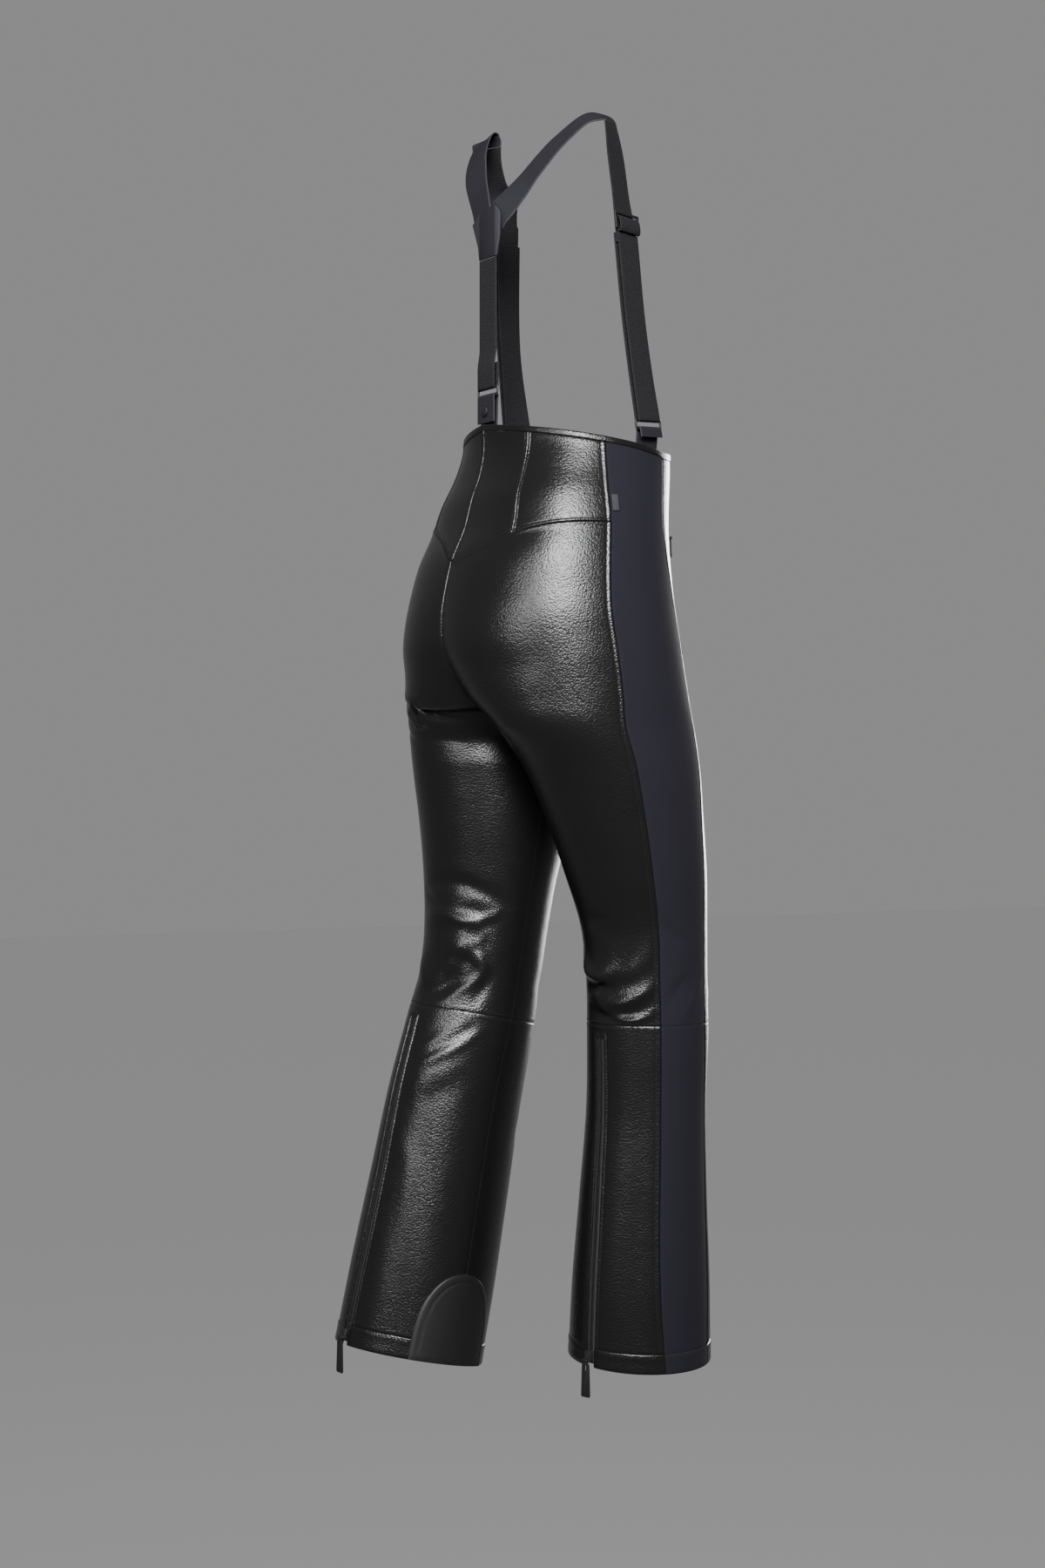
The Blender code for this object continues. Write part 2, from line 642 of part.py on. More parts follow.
def build_pocket_zips():
    """A short zip on each hip, lying on the front panel."""
    for side in (RIGHT, LEFT):
        heights = [POCKET_TOP + (POCKET_BOTTOM - POCKET_TOP) * share for share in spread(6)]

        def edges(height, side=side):
            middle = seam_angle(POCKET_LINE, height)
            half = POCKET_HALF / outward(side, height, middle)[1]
            return middle - half, middle + half

        strip(f"pocket_zip_{WORD[side]}", side, heights, edges, 1, LAY, LAY + CHAIN_THICK,
              "hardware")


def build_fly():
    """The centre front zip: a chain in the slot between the two fronts."""
    heights = []
    for low, high, share in levels_between("crotch", "top"):
        bottom = level_height(low, LEFT, -0.5 * math.pi)
        top = level_height(high, LEFT, -0.5 * math.pi)
        height = bottom + (top - bottom) * share
        if height > FLY_BOTTOM:
            heights.append(height)
    outer, inner = [], []
    for height in heights:
        line_out, line_in = [], []
        for share in (-1.0, 0.0, 1.0):
            side = RIGHT if share < 0.0 else LEFT
            reach = abs(share) * (FLY_SLOT_HALF - GAP)
            angle = centre_angle(side, height, reach, front=True)
            face = skin(side, height, angle)
            normal = outward(side, height, angle)[0]
            line_out.append(face)
            line_in.append(face - normal * CHAIN_THICK)
        outer.append(line_out)
        inner.append(line_in)
    wall("fly_zip", outer, inner, "hardware")


# ---------------------------------------------------------------- sliders and pulls
class Spot:
    """A place on the cloth with its own axes: across it, up it and out of it."""

    def __init__(self, origin, across, up, out):
        self.origin, self.across, self.up, self.out = origin, across, up, out

    def at(self, u, v, w):
        return self.origin + self.across * u + self.up * v + self.out * w


def spot_on(side, height, angle):
    """The spot at a height and angle; across runs the way the angle grows."""
    small = 0.002
    out = outward(side, height, angle)[0]
    up = (form(side, height + small, angle) - form(side, height - small, angle))
    up = (up - out * up.dot(out)).normalized()
    return Spot(skin(side, height, angle), up.cross(out), up, out)


def brick(spot, low, high, taper=0.0):
    """Points and faces of a box between two corners in a spot's axes, narrower outside."""
    points = []
    for w in (low[2], high[2]):
        shrink = taper if w == high[2] else 0.0
        for u, v in ((low[0] + shrink, low[1] + shrink), (high[0] - shrink, low[1] + shrink),
                     (high[0] - shrink, high[1] - shrink), (low[0] + shrink, high[1] - shrink)):
            points.append(spot.at(u, v, w))
    return points, [(3, 2, 1, 0), (4, 5, 6, 7), (0, 1, 5, 4), (1, 2, 6, 5), (2, 3, 7, 6),
                    (3, 0, 4, 7)]


def barrel(spot, centre, half, radius, bore, sides):
    """Points and faces of a pipe along a spot's across axis, or of a rod if bore is zero."""
    points, faces = [], []
    radii = (radius, bore) if bore else (radius,)
    for u in (-half, half):
        for r in radii:
            for k in range(sides):
                turn = TURN * (k + 0.5) / sides
                points.append(spot.at(u, centre[0] + r * math.cos(turn),
                                      centre[1] + r * math.sin(turn)))
    ring = len(radii) * sides
    for k in range(sides):
        n = (k + 1) % sides
        faces.append((k, n, ring + n, ring + k))
        if bore:
            faces.append((sides + n, sides + k, ring + sides + k, ring + sides + n))
            faces.append((n, k, sides + k, sides + n))
            faces.append((ring + k, ring + n, ring + sides + n, ring + sides + k))
    if not bore:
        faces.append(tuple(reversed(range(sides))))
        faces.append(tuple(range(ring, ring + sides)))
    return points, faces


def united(name, pieces, material):
    """One solid from overlapping closed pieces."""
    things = [keep_mesh(f"{name}.{n}", p, f, material) for n, (p, f) in enumerate(pieces)]
    base = things[0]
    for other in things[1:]:
        join = base.modifiers.new("join", "BOOLEAN")
        join.operation = "UNION"
        join.solver = "EXACT"
        join.object = other
    bpy.context.view_layer.update()
    shape = bpy.data.meshes.new_from_object(
        base.evaluated_get(bpy.context.evaluated_depsgraph_get()))
    for thing in things:
        bpy.data.objects.remove(thing, do_unlink=True)
    shape.name = name
    solid = bpy.data.objects.new(name, shape)
    bpy.context.scene.collection.objects.link(solid)
    shape.shade_smooth()
    shape.set_sharp_from_angle(angle=math.radians(40))
    return solid


def slider_and_pull(word, spot, size, length, width, chain_out):
    """A zip slider with two ears and a pin, and the pull that hangs on the pin."""
    face = chain_out + GAP
    top = face + 0.0030 * size
    pin_up, pin_out = -0.0045 * size, top + 0.0022
    ear_in, ear_out, ear_reach = 0.0024, 0.0038, 0.0017
    pieces = [brick(spot, (-0.0050 * size, -0.0058 * size, face),
                    (0.0050 * size, 0.0062 * size, top), 0.0008)]
    for way in (-1, 1):
        inner, outer = sorted((way * ear_in, way * ear_out))
        pieces.append(brick(spot, (inner, pin_up - ear_reach, top - 0.0010),
                            (outer, pin_up + ear_reach, pin_out + ear_reach)))
    pieces.append(barrel(spot, (pin_up, pin_out), ear_in + 0.0006, 0.00055, 0.0, 8))
    united(f"slider_{word}", pieces, "hardware")

    # The pull hangs plumb from the pin, in the plane that its pin lets it swing in.
    pin = spot.at(0.0, pin_up, pin_out)
    plumb = Vector((0.0, 0.0, 1.0))
    plumb = (plumb - spot.across * plumb.dot(spot.across)).normalized()
    hang = Spot(pin, spot.across, plumb, spot.across.cross(plumb))
    if hang.out.dot(spot.out) < 0.0:
        hang.out = -hang.out
    eye = barrel(hang, (0.0, 0.0), ear_in - GAP, 0.0015, 0.00095, 12)
    half_thick = 0.0009
    neck = brick(hang, (-0.0019, -0.0041, -0.0007), (0.0019, -0.00115, 0.0007))
    slot = 0.0011
    # down from the pin, half width: a plate that widens, with a slot near its top
    outline = [(0.0028, 0.66), (0.0050, 0.80), (0.0110, 0.84), (0.0150, 0.87),
               (0.0240, 0.93), (length - 0.0020, 1.00), (length, 0.86)]
    if length < 0.030:
        outline = [row for row in outline if row[0] != 0.0240]
    front, back = [], []
    for down, share in outline:
        half = 0.5 * width * share
        line = [hang.at(u, -down, half_thick) for u in (-half, -slot, slot, half)]
        front.append(line)
        back.append([p - hang.out * 2.0 * half_thick for p in line])
    plate = wall("plate", front, back, "hardware", keep=lambda j, i: (j, i) != (1, 1))
    plate_mesh = ([v.co.copy() for v in plate.data.vertices],
                  [tuple(f.vertices) for f in plate.data.polygons])
    bpy.data.objects.remove(plate, do_unlink=True)
    pull = united(f"pull_{word}", [plate_mesh, neck, eye], "hardware")
    for vertex in pull.data.vertices:
        vertex.co -= pin
    pull.location = pin
    hinge = -spot.across if spot.across.cross(-plumb).dot(spot.out) < 0.0 else spot.across
    print(f"hinge of pull_{word}: at {tuple(round(c, 6) for c in pin)}, "
          f"axis {tuple(round(c, 6) for c in hinge)}")


def build_sliders():
    """Every zip's slider and pull: two calves, two pockets and the fly."""
    chain_out = -TAPE_SUNK + GAP + CHAIN_THICK
    for side in (RIGHT, LEFT):
        height = HEM_EDGE[side] + CALF_SLIDER_ABOVE_HEM
        spot = spot_on(side, height, seam_angle(ZIP_LINE[side], height))
        slider_and_pull(f"calf_{WORD[side]}", spot, 1.0, 0.0400, 0.0125, chain_out)
        height = POCKET_TOP + 0.012
        spot = spot_on(side, height, seam_angle(POCKET_LINE, height))
        slider_and_pull(f"pocket_{WORD[side]}", spot, 0.8, 0.0240, 0.0070, LAY + CHAIN_THICK)
    height = level(TOP_EDGE, -0.5 * math.pi) - 0.016
    spot = spot_on(LEFT, height, -0.5 * math.pi)
    slider_and_pull("fly", spot, 0.8, 0.0240, 0.0070, FLY_SLIDER_OUT)


# ---------------------------------------------------------------- trims
def build_guards():
    """The moulded scuff guard on the inner ankle of each leg."""
    for side in (RIGHT, LEFT):
        rise = [HEM_EDGE[side] + 0.0004 + GUARD_HEIGHT * share
                for share in (0.0, 0.22, 0.43, 0.60, 0.74, 0.85, 0.93, 0.985)]

        def edges(height, side=side):
            share = (height - HEM_EDGE[side]) / GUARD_HEIGHT
            half = GUARD_HALF * math.sqrt(max(0.0, 1.0 - share ** 3))
            middle = seam_angle(INSEAM, height)
            half /= outward(side, height, middle)[1]
            return middle - half, middle + half

        strip(f"scuff_guard_{WORD[side]}", side, rise, edges, 10, GUARD_OFF,
              GUARD_OFF + GUARD_THICK, "rubber")


def build_side_tab():
    """A small folded tab caught in the right back seam, left plain."""
    def edges(height):
        seam = seam_angle(BACK_SIDE_SEAM, height)
        return seam - math.radians(0.6), seam - math.radians(3.4)

    strip("side_tab", RIGHT, [-0.0420, -0.0330, -0.0240], edges, 1, LAY, LAY + 0.0012, "webbing")


# ---------------------------------------------------------------- braces
# Middle of each strap in metres and the direction across it, from the patch on the back
# over the shoulder and down to the adjuster. SEWN is the station where webbing meets elastic.
SHOULDER = {
    RIGHT: [
        (-0.0150, 0.1033, 0.2950, 0.50, 0.00, 0.87),
        (-0.0225, 0.1015, 0.3030, 0.60, -0.02, 0.78),
        (-0.0270, 0.0920, 0.3160, 0.72, -0.08, 0.66),
        (-0.0320, 0.0757, 0.3370, 0.80, -0.14, 0.56),
        (-0.0450, 0.0620, 0.3590, 0.80, -0.20, 0.55),
        (-0.0560, 0.0485, 0.3780, 0.78, -0.28, 0.54),
        (-0.0740, 0.0260, 0.4020, 0.77, -0.38, 0.51),
        (-0.0830, 0.0120, 0.4060, 0.76, -0.48, 0.43),
        (-0.0880, 0.0008, 0.4030, 0.66, -0.72, 0.22),
        (-0.0902, -0.0020, 0.3910, 0.60, -0.79, 0.09),
        (-0.0940, -0.0047, 0.3610, 0.50, -0.87, 0.00),
        (-0.0985, -0.0085, 0.3170, 0.48, -0.88, 0.00),
        (-0.1022, -0.0117, 0.2820, 0.39, -0.92, 0.00),
        (-0.1044, -0.0125, 0.2620, 0.38, -0.92, 0.00),
    ],
    LEFT: [
        (0.0165, 0.1033, 0.3000, -0.92, 0.00, 0.36),
        (0.0220, 0.1030, 0.3170, -0.89, -0.04, 0.44),
        (0.0300, 0.1020, 0.3340, -0.84, -0.12, 0.52),
        (0.0450, 0.0965, 0.3550, -0.84, -0.23, 0.49),
        (0.0580, 0.0890, 0.3740, -0.84, -0.23, 0.49),
        (0.0720, 0.0770, 0.3930, -0.84, -0.23, 0.49),
        (0.0815, 0.0670, 0.4045, -0.85, -0.25, 0.46),
        (0.0868, 0.0605, 0.4095, -0.90, -0.33, 0.20),
        (0.0890, 0.0550, 0.4070, -0.95, -0.30, 0.03),
        (0.0905, 0.0517, 0.3950, -0.99, -0.13, 0.00),
        (0.0925, 0.0485, 0.3800, -0.99, -0.10, 0.00),
        (0.0945, 0.0430, 0.3570, -0.95, -0.31, 0.00),
        (0.0956, 0.0350, 0.3400, -0.40, -0.92, 0.00),
        (0.0980, 0.0268, 0.3200, 0.30, -0.95, 0.00),
        (0.0998, 0.0246, 0.3040, 0.33, -0.94, 0.00),
        (0.1029, 0.0226, 0.2800, 0.32, -0.95, 0.00),
    ],
}
SEWN = 8.5
FRONT_LOW = {
    RIGHT: [
        (-0.1032, -0.0121, 0.2730, 0.38, -0.92, 0.00),
        (-0.1130, -0.0155, 0.1840, 0.39, -0.92, 0.00),
        (-0.1200, -0.0205, 0.1200, 0.37, -0.93, 0.00),
        (-0.1255, -0.0260, 0.0690, 0.32, -0.95, 0.00),
    ],
    LEFT: [
        (0.1014, 0.0235, 0.2920, -0.32, 0.95, 0.00),
        (0.1120, 0.0173, 0.2090, -0.36, 0.93, 0.00),
        (0.1190, 0.0092, 0.1500, -0.38, 0.92, 0.00),
        (0.1265, -0.0050, 0.0720, -0.15, 0.99, 0.00),
    ],
}
BRACE_ANGLE = {RIGHT: -16.5, LEFT: -8.0}
BACK_STRAP_Y = 0.1060
RING_HEIGHT = 0.0140
RING_WIDTH = 0.0460
RING_WIRE = 0.0013        # radius
LOOP_RADIUS = 0.0026      # from the wire's middle to the strap's middle
# The patch where the straps meet, in the plane of the back: x and height.
PATCH = [(0.0192, 0.2530), (0.0215, 0.2680), (0.0345, 0.2960), (0.0130, 0.3085),
         (-0.0010, 0.3060), (-0.0130, 0.3135), (-0.0270, 0.3000), (-0.0262, 0.2750),
         (-0.0192, 0.2530)]


def smooth_stations(stations, start, end, steps):
    """Stations at even steps between two places on the smooth curve through a table."""
    rows = [(float(k), *station) for k, station in enumerate(stations)]
    return [along(rows, start + (end - start) * k / steps) for k in range(steps + 1)]


def ribbon(name, stations, material, thick=STRAP_THICK, ends=None):
    """A flat strap along stations: x, y, z of its middle, then the direction across it.

    ends gives the direction it runs in at its first or last station, by the index.
    """
    middles = [Vector(station[:3]) for station in stations]
    outer, inner = [], []
    for k, middle in enumerate(middles):
        run = Vector((0.0, 0.0, 0.0))
        for a, b in ((k - 1, k), (k, k + 1)):
            if 0 <= a and b < len(middles):
                run += (middles[b] - middles[a]).normalized()
        run = (ends or {}).get(k, run).normalized()
        across = Vector(stations[k][3:6])
        across = (across - run * across.dot(run)).normalized()
        face = across.cross(run) * (0.5 * thick)
        edge = across * (0.5 * STRAP_WIDTH)
        outer.append([middle - edge + face, middle + edge + face])
        inner.append([middle - edge - face, middle + edge - face])
    return wall(name, outer, inner, material)


def round_wire(middle, toward, away, across, steps=4):
    """Stations of a strap that turns round a wire, from one face of the ring to the other."""
    turn = []
    for k in range(steps + 1):
        angle = math.pi * k / steps
        place = middle + toward * (LOOP_RADIUS * math.sin(angle))
        place += away * (LOOP_RADIUS * math.cos(angle))
        turn.append((*place, *across))
    return turn


def wire_ring(name, middle, across, up, corner=0.0028, sides=6):
    """A flat wire ring, rectangular with round corners."""
    path = []
    half_w = 0.5 * RING_WIDTH - RING_WIRE - corner
    half_h = 0.5 * RING_HEIGHT - RING_WIRE - corner
    for n, (sign_u, sign_v) in enumerate(((1, 1), (-1, 1), (-1, -1), (1, -1))):
        for k in range(4):
            turn = 0.5 * math.pi * (n + k / 3)
            path.append((sign_u * half_w + corner * math.cos(turn),
                         sign_v * half_h + corner * math.sin(turn)))
    out = across.cross(up)
    points = []
    for k, (u, v) in enumerate(path):
        before, after = path[k - 1], path[(k + 1) % len(path)]
        run = Vector((after[0] - before[0], after[1] - before[1])).normalized()
        side = across * run[1] - up * run[0]
        for m in range(sides):
            turn = TURN * m / sides
            points.append(middle + across * u + up * v + side * (RING_WIRE * math.cos(turn))
                          + out * (RING_WIRE * math.sin(turn)))
    faces = []
    for k in range(len(path)):
        n = (k + 1) % len(path)
        for m in range(sides):
            q = (m + 1) % sides
            faces.append((k * sides + m, k * sides + q, n * sides + q, n * sides + m))
    return keep_mesh(name, points, faces, "hardware")


def frame_plate(name, spot, width, height, bar, thick):
    """A flat frame with one window, as a strap adjuster is."""
    half_u, half_v = 0.5 * width, 0.5 * height
    us = (-half_u, -half_u + bar, half_u - bar, half_u)
    vs = (-half_v, -half_v + bar, half_v - bar, half_v)
    front = [[spot.at(u, v, 0.5 * thick) for u in us] for v in vs]
    back = [[spot.at(u, v, -0.5 * thick) for u in us] for v in vs]
    return wall(name, front, back, "hardware", keep=lambda j, i: (j, i) != (1, 1))


def moved_off(stations, apart):
    """The stations of a strap moved off its own face by a distance."""
    moved = []
    for k, station in enumerate(stations):
        first = Vector(stations[max(k - 1, 0)][:3])
        second = Vector(stations[min(k + 1, len(stations) - 1)][:3])
        run = (second - first).normalized()
        across = Vector(station[3:6])
        across = (across - run * across.dot(run)).normalized()
        moved.append((*(Vector(station[:3]) + across.cross(run) * apart), *across))
    return moved


def front_brace(side):
    """One front strap: elastic, adjuster, doubled strap, ring, and the tab that holds it."""
    word = WORD[side]
    table = SHOULDER[side]
    last = len(table) - 1
    before, after = smooth_stations(table, SEWN - 0.2, SEWN + 0.2, 1)
    joint = Vector(after[:3]) - Vector(before[:3])
    ribbon(f"shoulder_strap_{word}", smooth_stations(table, 0.0, SEWN - 0.040, 16), "webbing",
           ends={16: joint})
    ribbon(f"front_elastic_{word}", smooth_stations(table, SEWN + 0.040, last, 15), "elastic",
           ends={0: joint})

    # The lower strap is doubled: down its inner layer, round the ring, and up its outer one.
    low = FRONT_LOW[side]
    end = Vector(low[-1][:3])
    run = (end - Vector(low[-2][:3])).normalized()
    across = Vector(low[-1][3:6])
    across = (across - run * across.dot(run)).normalized()
    inward = across.cross(run)
    wire = end + run * 0.0040
    stations = moved_off(smooth_stations(low, 0.0, 3.0, 9), LOOP_RADIUS)
    stations += round_wire(wire, run, inward, across)
    stations += moved_off(smooth_stations(low, 0.0, 3.0, 9), -LOOP_RADIUS)[::-1]
    ribbon(f"front_strap_{word}", stations, "elastic")
    ring_middle = wire + run * (0.5 * RING_HEIGHT - RING_WIRE)
    wire_ring(f"front_ring_{word}", ring_middle, across, -run)

    # The tab comes up inside the waist and turns outward over the ring's lower wire.
    lower = ring_middle + run * (0.5 * RING_HEIGHT - RING_WIRE)
    angle = math.radians(BRACE_ANGLE[side])
    top = level(TOP_EDGE, angle)
    stations = []
    for below in (0.018, 0.003):
        spot = spot_on(side, top - below, angle)
        tangent = spot.across if spot.across.dot(across) > 0.0 else -spot.across
        stations.append((*spot.at(0.0, 0.0, -CLOTH - TAB_INSIDE), *tangent))
    stations += round_wire(lower, -run, inward, across)
    outside = Vector(stations[-1][:3])
    stations.append((*(outside + run * TAB_TURNED), *across))
    ribbon(f"front_tab_{word}", stations, "webbing", thick=TAB_THICK)

    # The adjuster lies on the outer face of the elastic, just above the doubled strap.
    before, after = (Vector(low[k][:3]) for k in (0, 1))
    run = (after - before).normalized()
    across = Vector(low[0][3:6])
    across = (across - run * across.dot(run)).normalized()
    out = run.cross(across)
    middle = before - run * 0.0135 + out * (0.5 * STRAP_THICK + GAP + 0.0022)
    frame_plate(f"adjuster_{word}", Spot(middle, across, -run, out), 0.0450, 0.0200, 0.0030,
                0.0022)


def back_snap(place, across, up, out, sides=16):
    """The press stud's cap on the back tab."""
    spot = Spot(place, across, up, out)
    points, faces = [], []
    for radius, lift in ((0.0060, 0.0), (0.0060, 0.0014), (0.0040, 0.0024)):
        for k in range(sides):
            turn = TURN * k / sides
            points.append(spot.at(radius * math.cos(turn), radius * math.sin(turn), lift))
    for row in range(2):
        for k in range(sides):
            n = (k + 1) % sides
            faces.append((row * sides + k, row * sides + n, (row + 1) * sides + n,
                          (row + 1) * sides + k))
    faces.append(tuple(reversed(range(sides))))
    faces.append(tuple(range(2 * sides, 3 * sides)))
    keep_mesh("back_snap", points, faces, "hardware")


def back_brace():
    """The back strap with its patch, ring, tab and press stud."""
    points = [Vector((x, BACK_STRAP_Y + 0.5 * PATCH_THICK * way, z))
              for way in (1, -1) for x, z in PATCH]
    count = len(PATCH)
    faces = [tuple(range(count)), tuple(reversed(range(count, 2 * count)))]
    faces += [(k, (k + 1) % count, count + (k + 1) % count, count + k) for k in range(count)]
    keep_mesh("back_patch", points, faces, "webbing", smooth=False)

    down, out, across = Vector((0, 0, -1)), Vector((0, 1, 0)), Vector((-1, 0, 0))
    reach = 0.5 * RING_HEIGHT - RING_WIRE
    middle = Vector((0.0, BACK_STRAP_Y, BACK_RING_Z))
    wire_ring("back_ring", middle, across, -down)

    stations = [(0.0, BACK_STRAP_Y, z, *across) for z in (0.2520, 0.2180, 0.1840, 0.1520)]
    stations.append((0.0, BACK_STRAP_Y + LOOP_RADIUS, 0.1280, *across))
    stations += round_wire(middle - down * reach, down, out, across)
    stations.append((0.0, BACK_STRAP_Y - LOOP_RADIUS, 0.1340, *across))
    ribbon("back_elastic", stations, "elastic")

    top = level(TOP_EDGE, 0.5 * math.pi)
    inside = form(LEFT, top, 0.5 * math.pi).y - CLOTH - TAB_INSIDE
    stations = [(0.0, inside, top - 0.0200, *across), (0.0, inside, top - 0.0040, *across)]
    stations += round_wire(middle + down * reach, -down, -out, across)
    stations.append((0.0, BACK_STRAP_Y + LOOP_RADIUS, top + 0.0020, *across))
    ribbon("back_tab", stations, "webbing", thick=TAB_THICK)
    back_snap(Vector((0.0, BACK_STRAP_Y + LOOP_RADIUS + 0.5 * TAB_THICK + GAP, top + 0.0150)),
              across, -down, out)


build_panels()
build_calf_zips()
build_pocket_zips()
build_fly()
build_sliders()
build_guards()
build_side_tab()
for side in (RIGHT, LEFT):
    front_brace(side)
back_brace()
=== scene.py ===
# %% [markdown]
# # Ski trousers with braces
# A pair of fitted ski trousers in soft black coated cloth, with a dark stretch panel down
# each side, a yoke over the seat, a zip up each calf and elastic braces that hold the waist.
# The frame is the plain built form. This lesson dresses it: each cut piece becomes a thin
# shell with rolled seams and creases, then come the thread, the zips, the trims and light.

import math

import bmesh
import bpy
import numpy as np
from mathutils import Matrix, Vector


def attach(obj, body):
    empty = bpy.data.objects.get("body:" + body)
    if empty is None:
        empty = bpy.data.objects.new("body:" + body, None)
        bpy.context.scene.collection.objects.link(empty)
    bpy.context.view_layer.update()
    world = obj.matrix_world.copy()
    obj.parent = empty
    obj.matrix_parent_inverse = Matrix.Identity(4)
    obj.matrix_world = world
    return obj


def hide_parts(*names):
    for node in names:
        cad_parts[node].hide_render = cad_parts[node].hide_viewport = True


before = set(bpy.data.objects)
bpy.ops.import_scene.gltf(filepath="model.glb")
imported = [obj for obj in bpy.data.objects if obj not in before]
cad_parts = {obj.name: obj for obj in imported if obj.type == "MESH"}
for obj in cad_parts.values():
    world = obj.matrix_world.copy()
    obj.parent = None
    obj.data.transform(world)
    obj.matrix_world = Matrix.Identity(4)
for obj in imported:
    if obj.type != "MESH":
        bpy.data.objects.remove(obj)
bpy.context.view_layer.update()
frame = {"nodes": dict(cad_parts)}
nodes = frame["nodes"]
print("nodes in the frame:", len(nodes))

# %% [markdown]
# ## Sizes
# The same named sizes as in the frame, in metres. Cloth this warm is a coated face bonded
# to a brushed back, about 2 mm thick, so every shell below keeps that thickness.

# %% Sizes in metres
RIGHT, LEFT = -1, 1
WORD = {RIGHT: "right", LEFT: "left"}
TURN = 2.0 * math.pi
CLOTH = 0.0020
SEAM_GAP = 0.0001
KNEE_SEAM = -0.607
HEM_SEAM = {RIGHT: -0.960, LEFT: -0.969}
HEM_EDGE = {RIGHT: -0.981, LEFT: -0.992}
CROTCH = -0.275
BINDING_HEIGHT = 0.0068
ZIP_OPEN_HALF = 0.0056    # half of what shows between the zip's two cloth edges
ZIP_TOP = -0.6210
FLY_BOTTOM = -0.151
FLY_SLOT_HALF = 0.0045
STRAP_WIDTH = 0.038
STRAP_THICK = 0.0016

# %% [markdown]
# ## The worn form
# The body inside gives the cloth its shape. Each row is a ring: how far it reaches out and
# in, where its middle lies, and how deep it is in front and behind. The right leg strides
# forward a little and the left leg back, as the wearer stands.

# %% The rings of the worn form
# height, outer, inner_front, inner_back, middle, front, back, square, stride, two leans
TRUNK = [
    (0.070, 0.133, -0.133, -0.133, 0.001, 0.108, 0.112, 0.06, 0.000, 0.00, 0.00),
    (0.040, 0.136, -0.136, -0.134, 0.002, 0.108, 0.109, 0.14, 0.000, 0.00, 0.00),
    (0.010, 0.142, -0.142, -0.134, 0.005, 0.109, 0.111, 0.26, 0.000, 0.00, 0.00),
    (-0.020, 0.150, -0.150, -0.136, 0.011, 0.110, 0.116, 0.32, 0.001, 0.00, 0.00),
    (-0.055, 0.158, -0.156, -0.136, 0.018, 0.112, 0.119, 0.30, 0.003, 0.00, 0.00),
    (-0.090, 0.165, -0.159, -0.128, 0.023, 0.115, 0.130, 0.22, 0.005, 0.00, 0.00),
    (-0.125, 0.170, -0.157, -0.116, 0.025, 0.117, 0.138, 0.14, 0.007, 0.00, 0.00),
    (-0.155, 0.174, -0.150, -0.106, 0.025, 0.118, 0.144, 0.08, 0.008, 0.00, 0.00),
    (-0.185, 0.177, -0.133, -0.094, 0.024, 0.117, 0.146, 0.03, 0.010, 0.00, 0.00),
    (-0.215, 0.179, -0.100, -0.074, 0.023, 0.115, 0.140, 0.00, 0.011, 0.00, 0.00),
    (-0.245, 0.180, -0.052, -0.040, 0.021, 0.110, 0.134, 0.00, 0.012, 0.00, 0.00),
    (CROTCH, 0.180, 0.001, 0.001, 0.020, 0.106, 0.122, 0.00, 0.013, 0.00, 0.00),
]
LEG = {
    RIGHT: [
        (-0.320, 0.182, 0.005, 0.005, 0.003, 0.098, 0.102, 0.00, 0.008, 0.00, 0.00),
        (-0.380, 0.179, 0.009, 0.009, -0.017, 0.087, 0.090, 0.00, 0.002, 0.00, 0.00),
        (-0.440, 0.173, 0.015, 0.015, -0.031, 0.080, 0.080, 0.00, 0.000, 0.00, 0.00),
        (-0.500, 0.165, 0.023, 0.023, -0.042, 0.071, 0.071, 0.00, 0.000, 0.00, 0.00),
        (-0.560, 0.162, 0.026, 0.026, -0.046, 0.068, 0.068, 0.00, 0.000, 0.00, 0.00),
        (-0.620, 0.163, 0.025, 0.025, -0.047, 0.068, 0.068, 0.00, 0.000, 0.00, 0.00),
        (-0.700, 0.162, 0.026, 0.026, -0.045, 0.067, 0.067, 0.00, 0.000, 0.00, 0.00),
        (-0.800, 0.165, 0.023, 0.023, -0.041, 0.072, 0.072, 0.00, 0.000, 0.00, 0.00),
        (-0.900, 0.170, 0.018, 0.018, -0.038, 0.078, 0.078, 0.00, 0.000, 0.00, -0.03),
        (-0.985, 0.173, 0.015, 0.015, -0.036, 0.080, 0.080, 0.00, 0.000, 0.00, -0.08),
    ],
    LEFT: [
        (-0.320, 0.182, 0.005, 0.005, 0.031, 0.102, 0.107, 0.00, 0.008, 0.00, 0.00),
        (-0.380, 0.179, 0.009, 0.009, 0.041, 0.091, 0.092, 0.00, 0.002, 0.00, 0.00),
        (-0.440, 0.173, 0.015, 0.015, 0.049, 0.078, 0.080, 0.00, 0.000, 0.02, 0.00),
        (-0.500, 0.167, 0.021, 0.021, 0.055, 0.071, 0.073, 0.00, 0.000, 0.08, 0.00),
        (-0.560, 0.164, 0.024, 0.024, 0.063, 0.069, 0.070, 0.00, 0.000, 0.15, 0.00),
        (-0.620, 0.164, 0.024, 0.024, 0.077, 0.073, 0.074, 0.00, 0.000, 0.20, 0.00),
        (-0.700, 0.164, 0.024, 0.024, 0.097, 0.077, 0.078, 0.00, 0.000, 0.21, 0.00),
        (-0.800, 0.167, 0.021, 0.021, 0.118, 0.081, 0.081, 0.00, 0.000, 0.21, 0.00),
        (-0.900, 0.171, 0.017, 0.017, 0.138, 0.083, 0.085, 0.00, 0.000, 0.21, 0.00),
        (-0.990, 0.173, 0.015, 0.015, 0.156, 0.083, 0.087, 0.00, 0.000, 0.21, 0.00),
    ],
}
RINGS = {side: TRUNK + LEG[side] for side in (RIGHT, LEFT)}
print("rings for each leg:", len(RINGS[LEFT]))

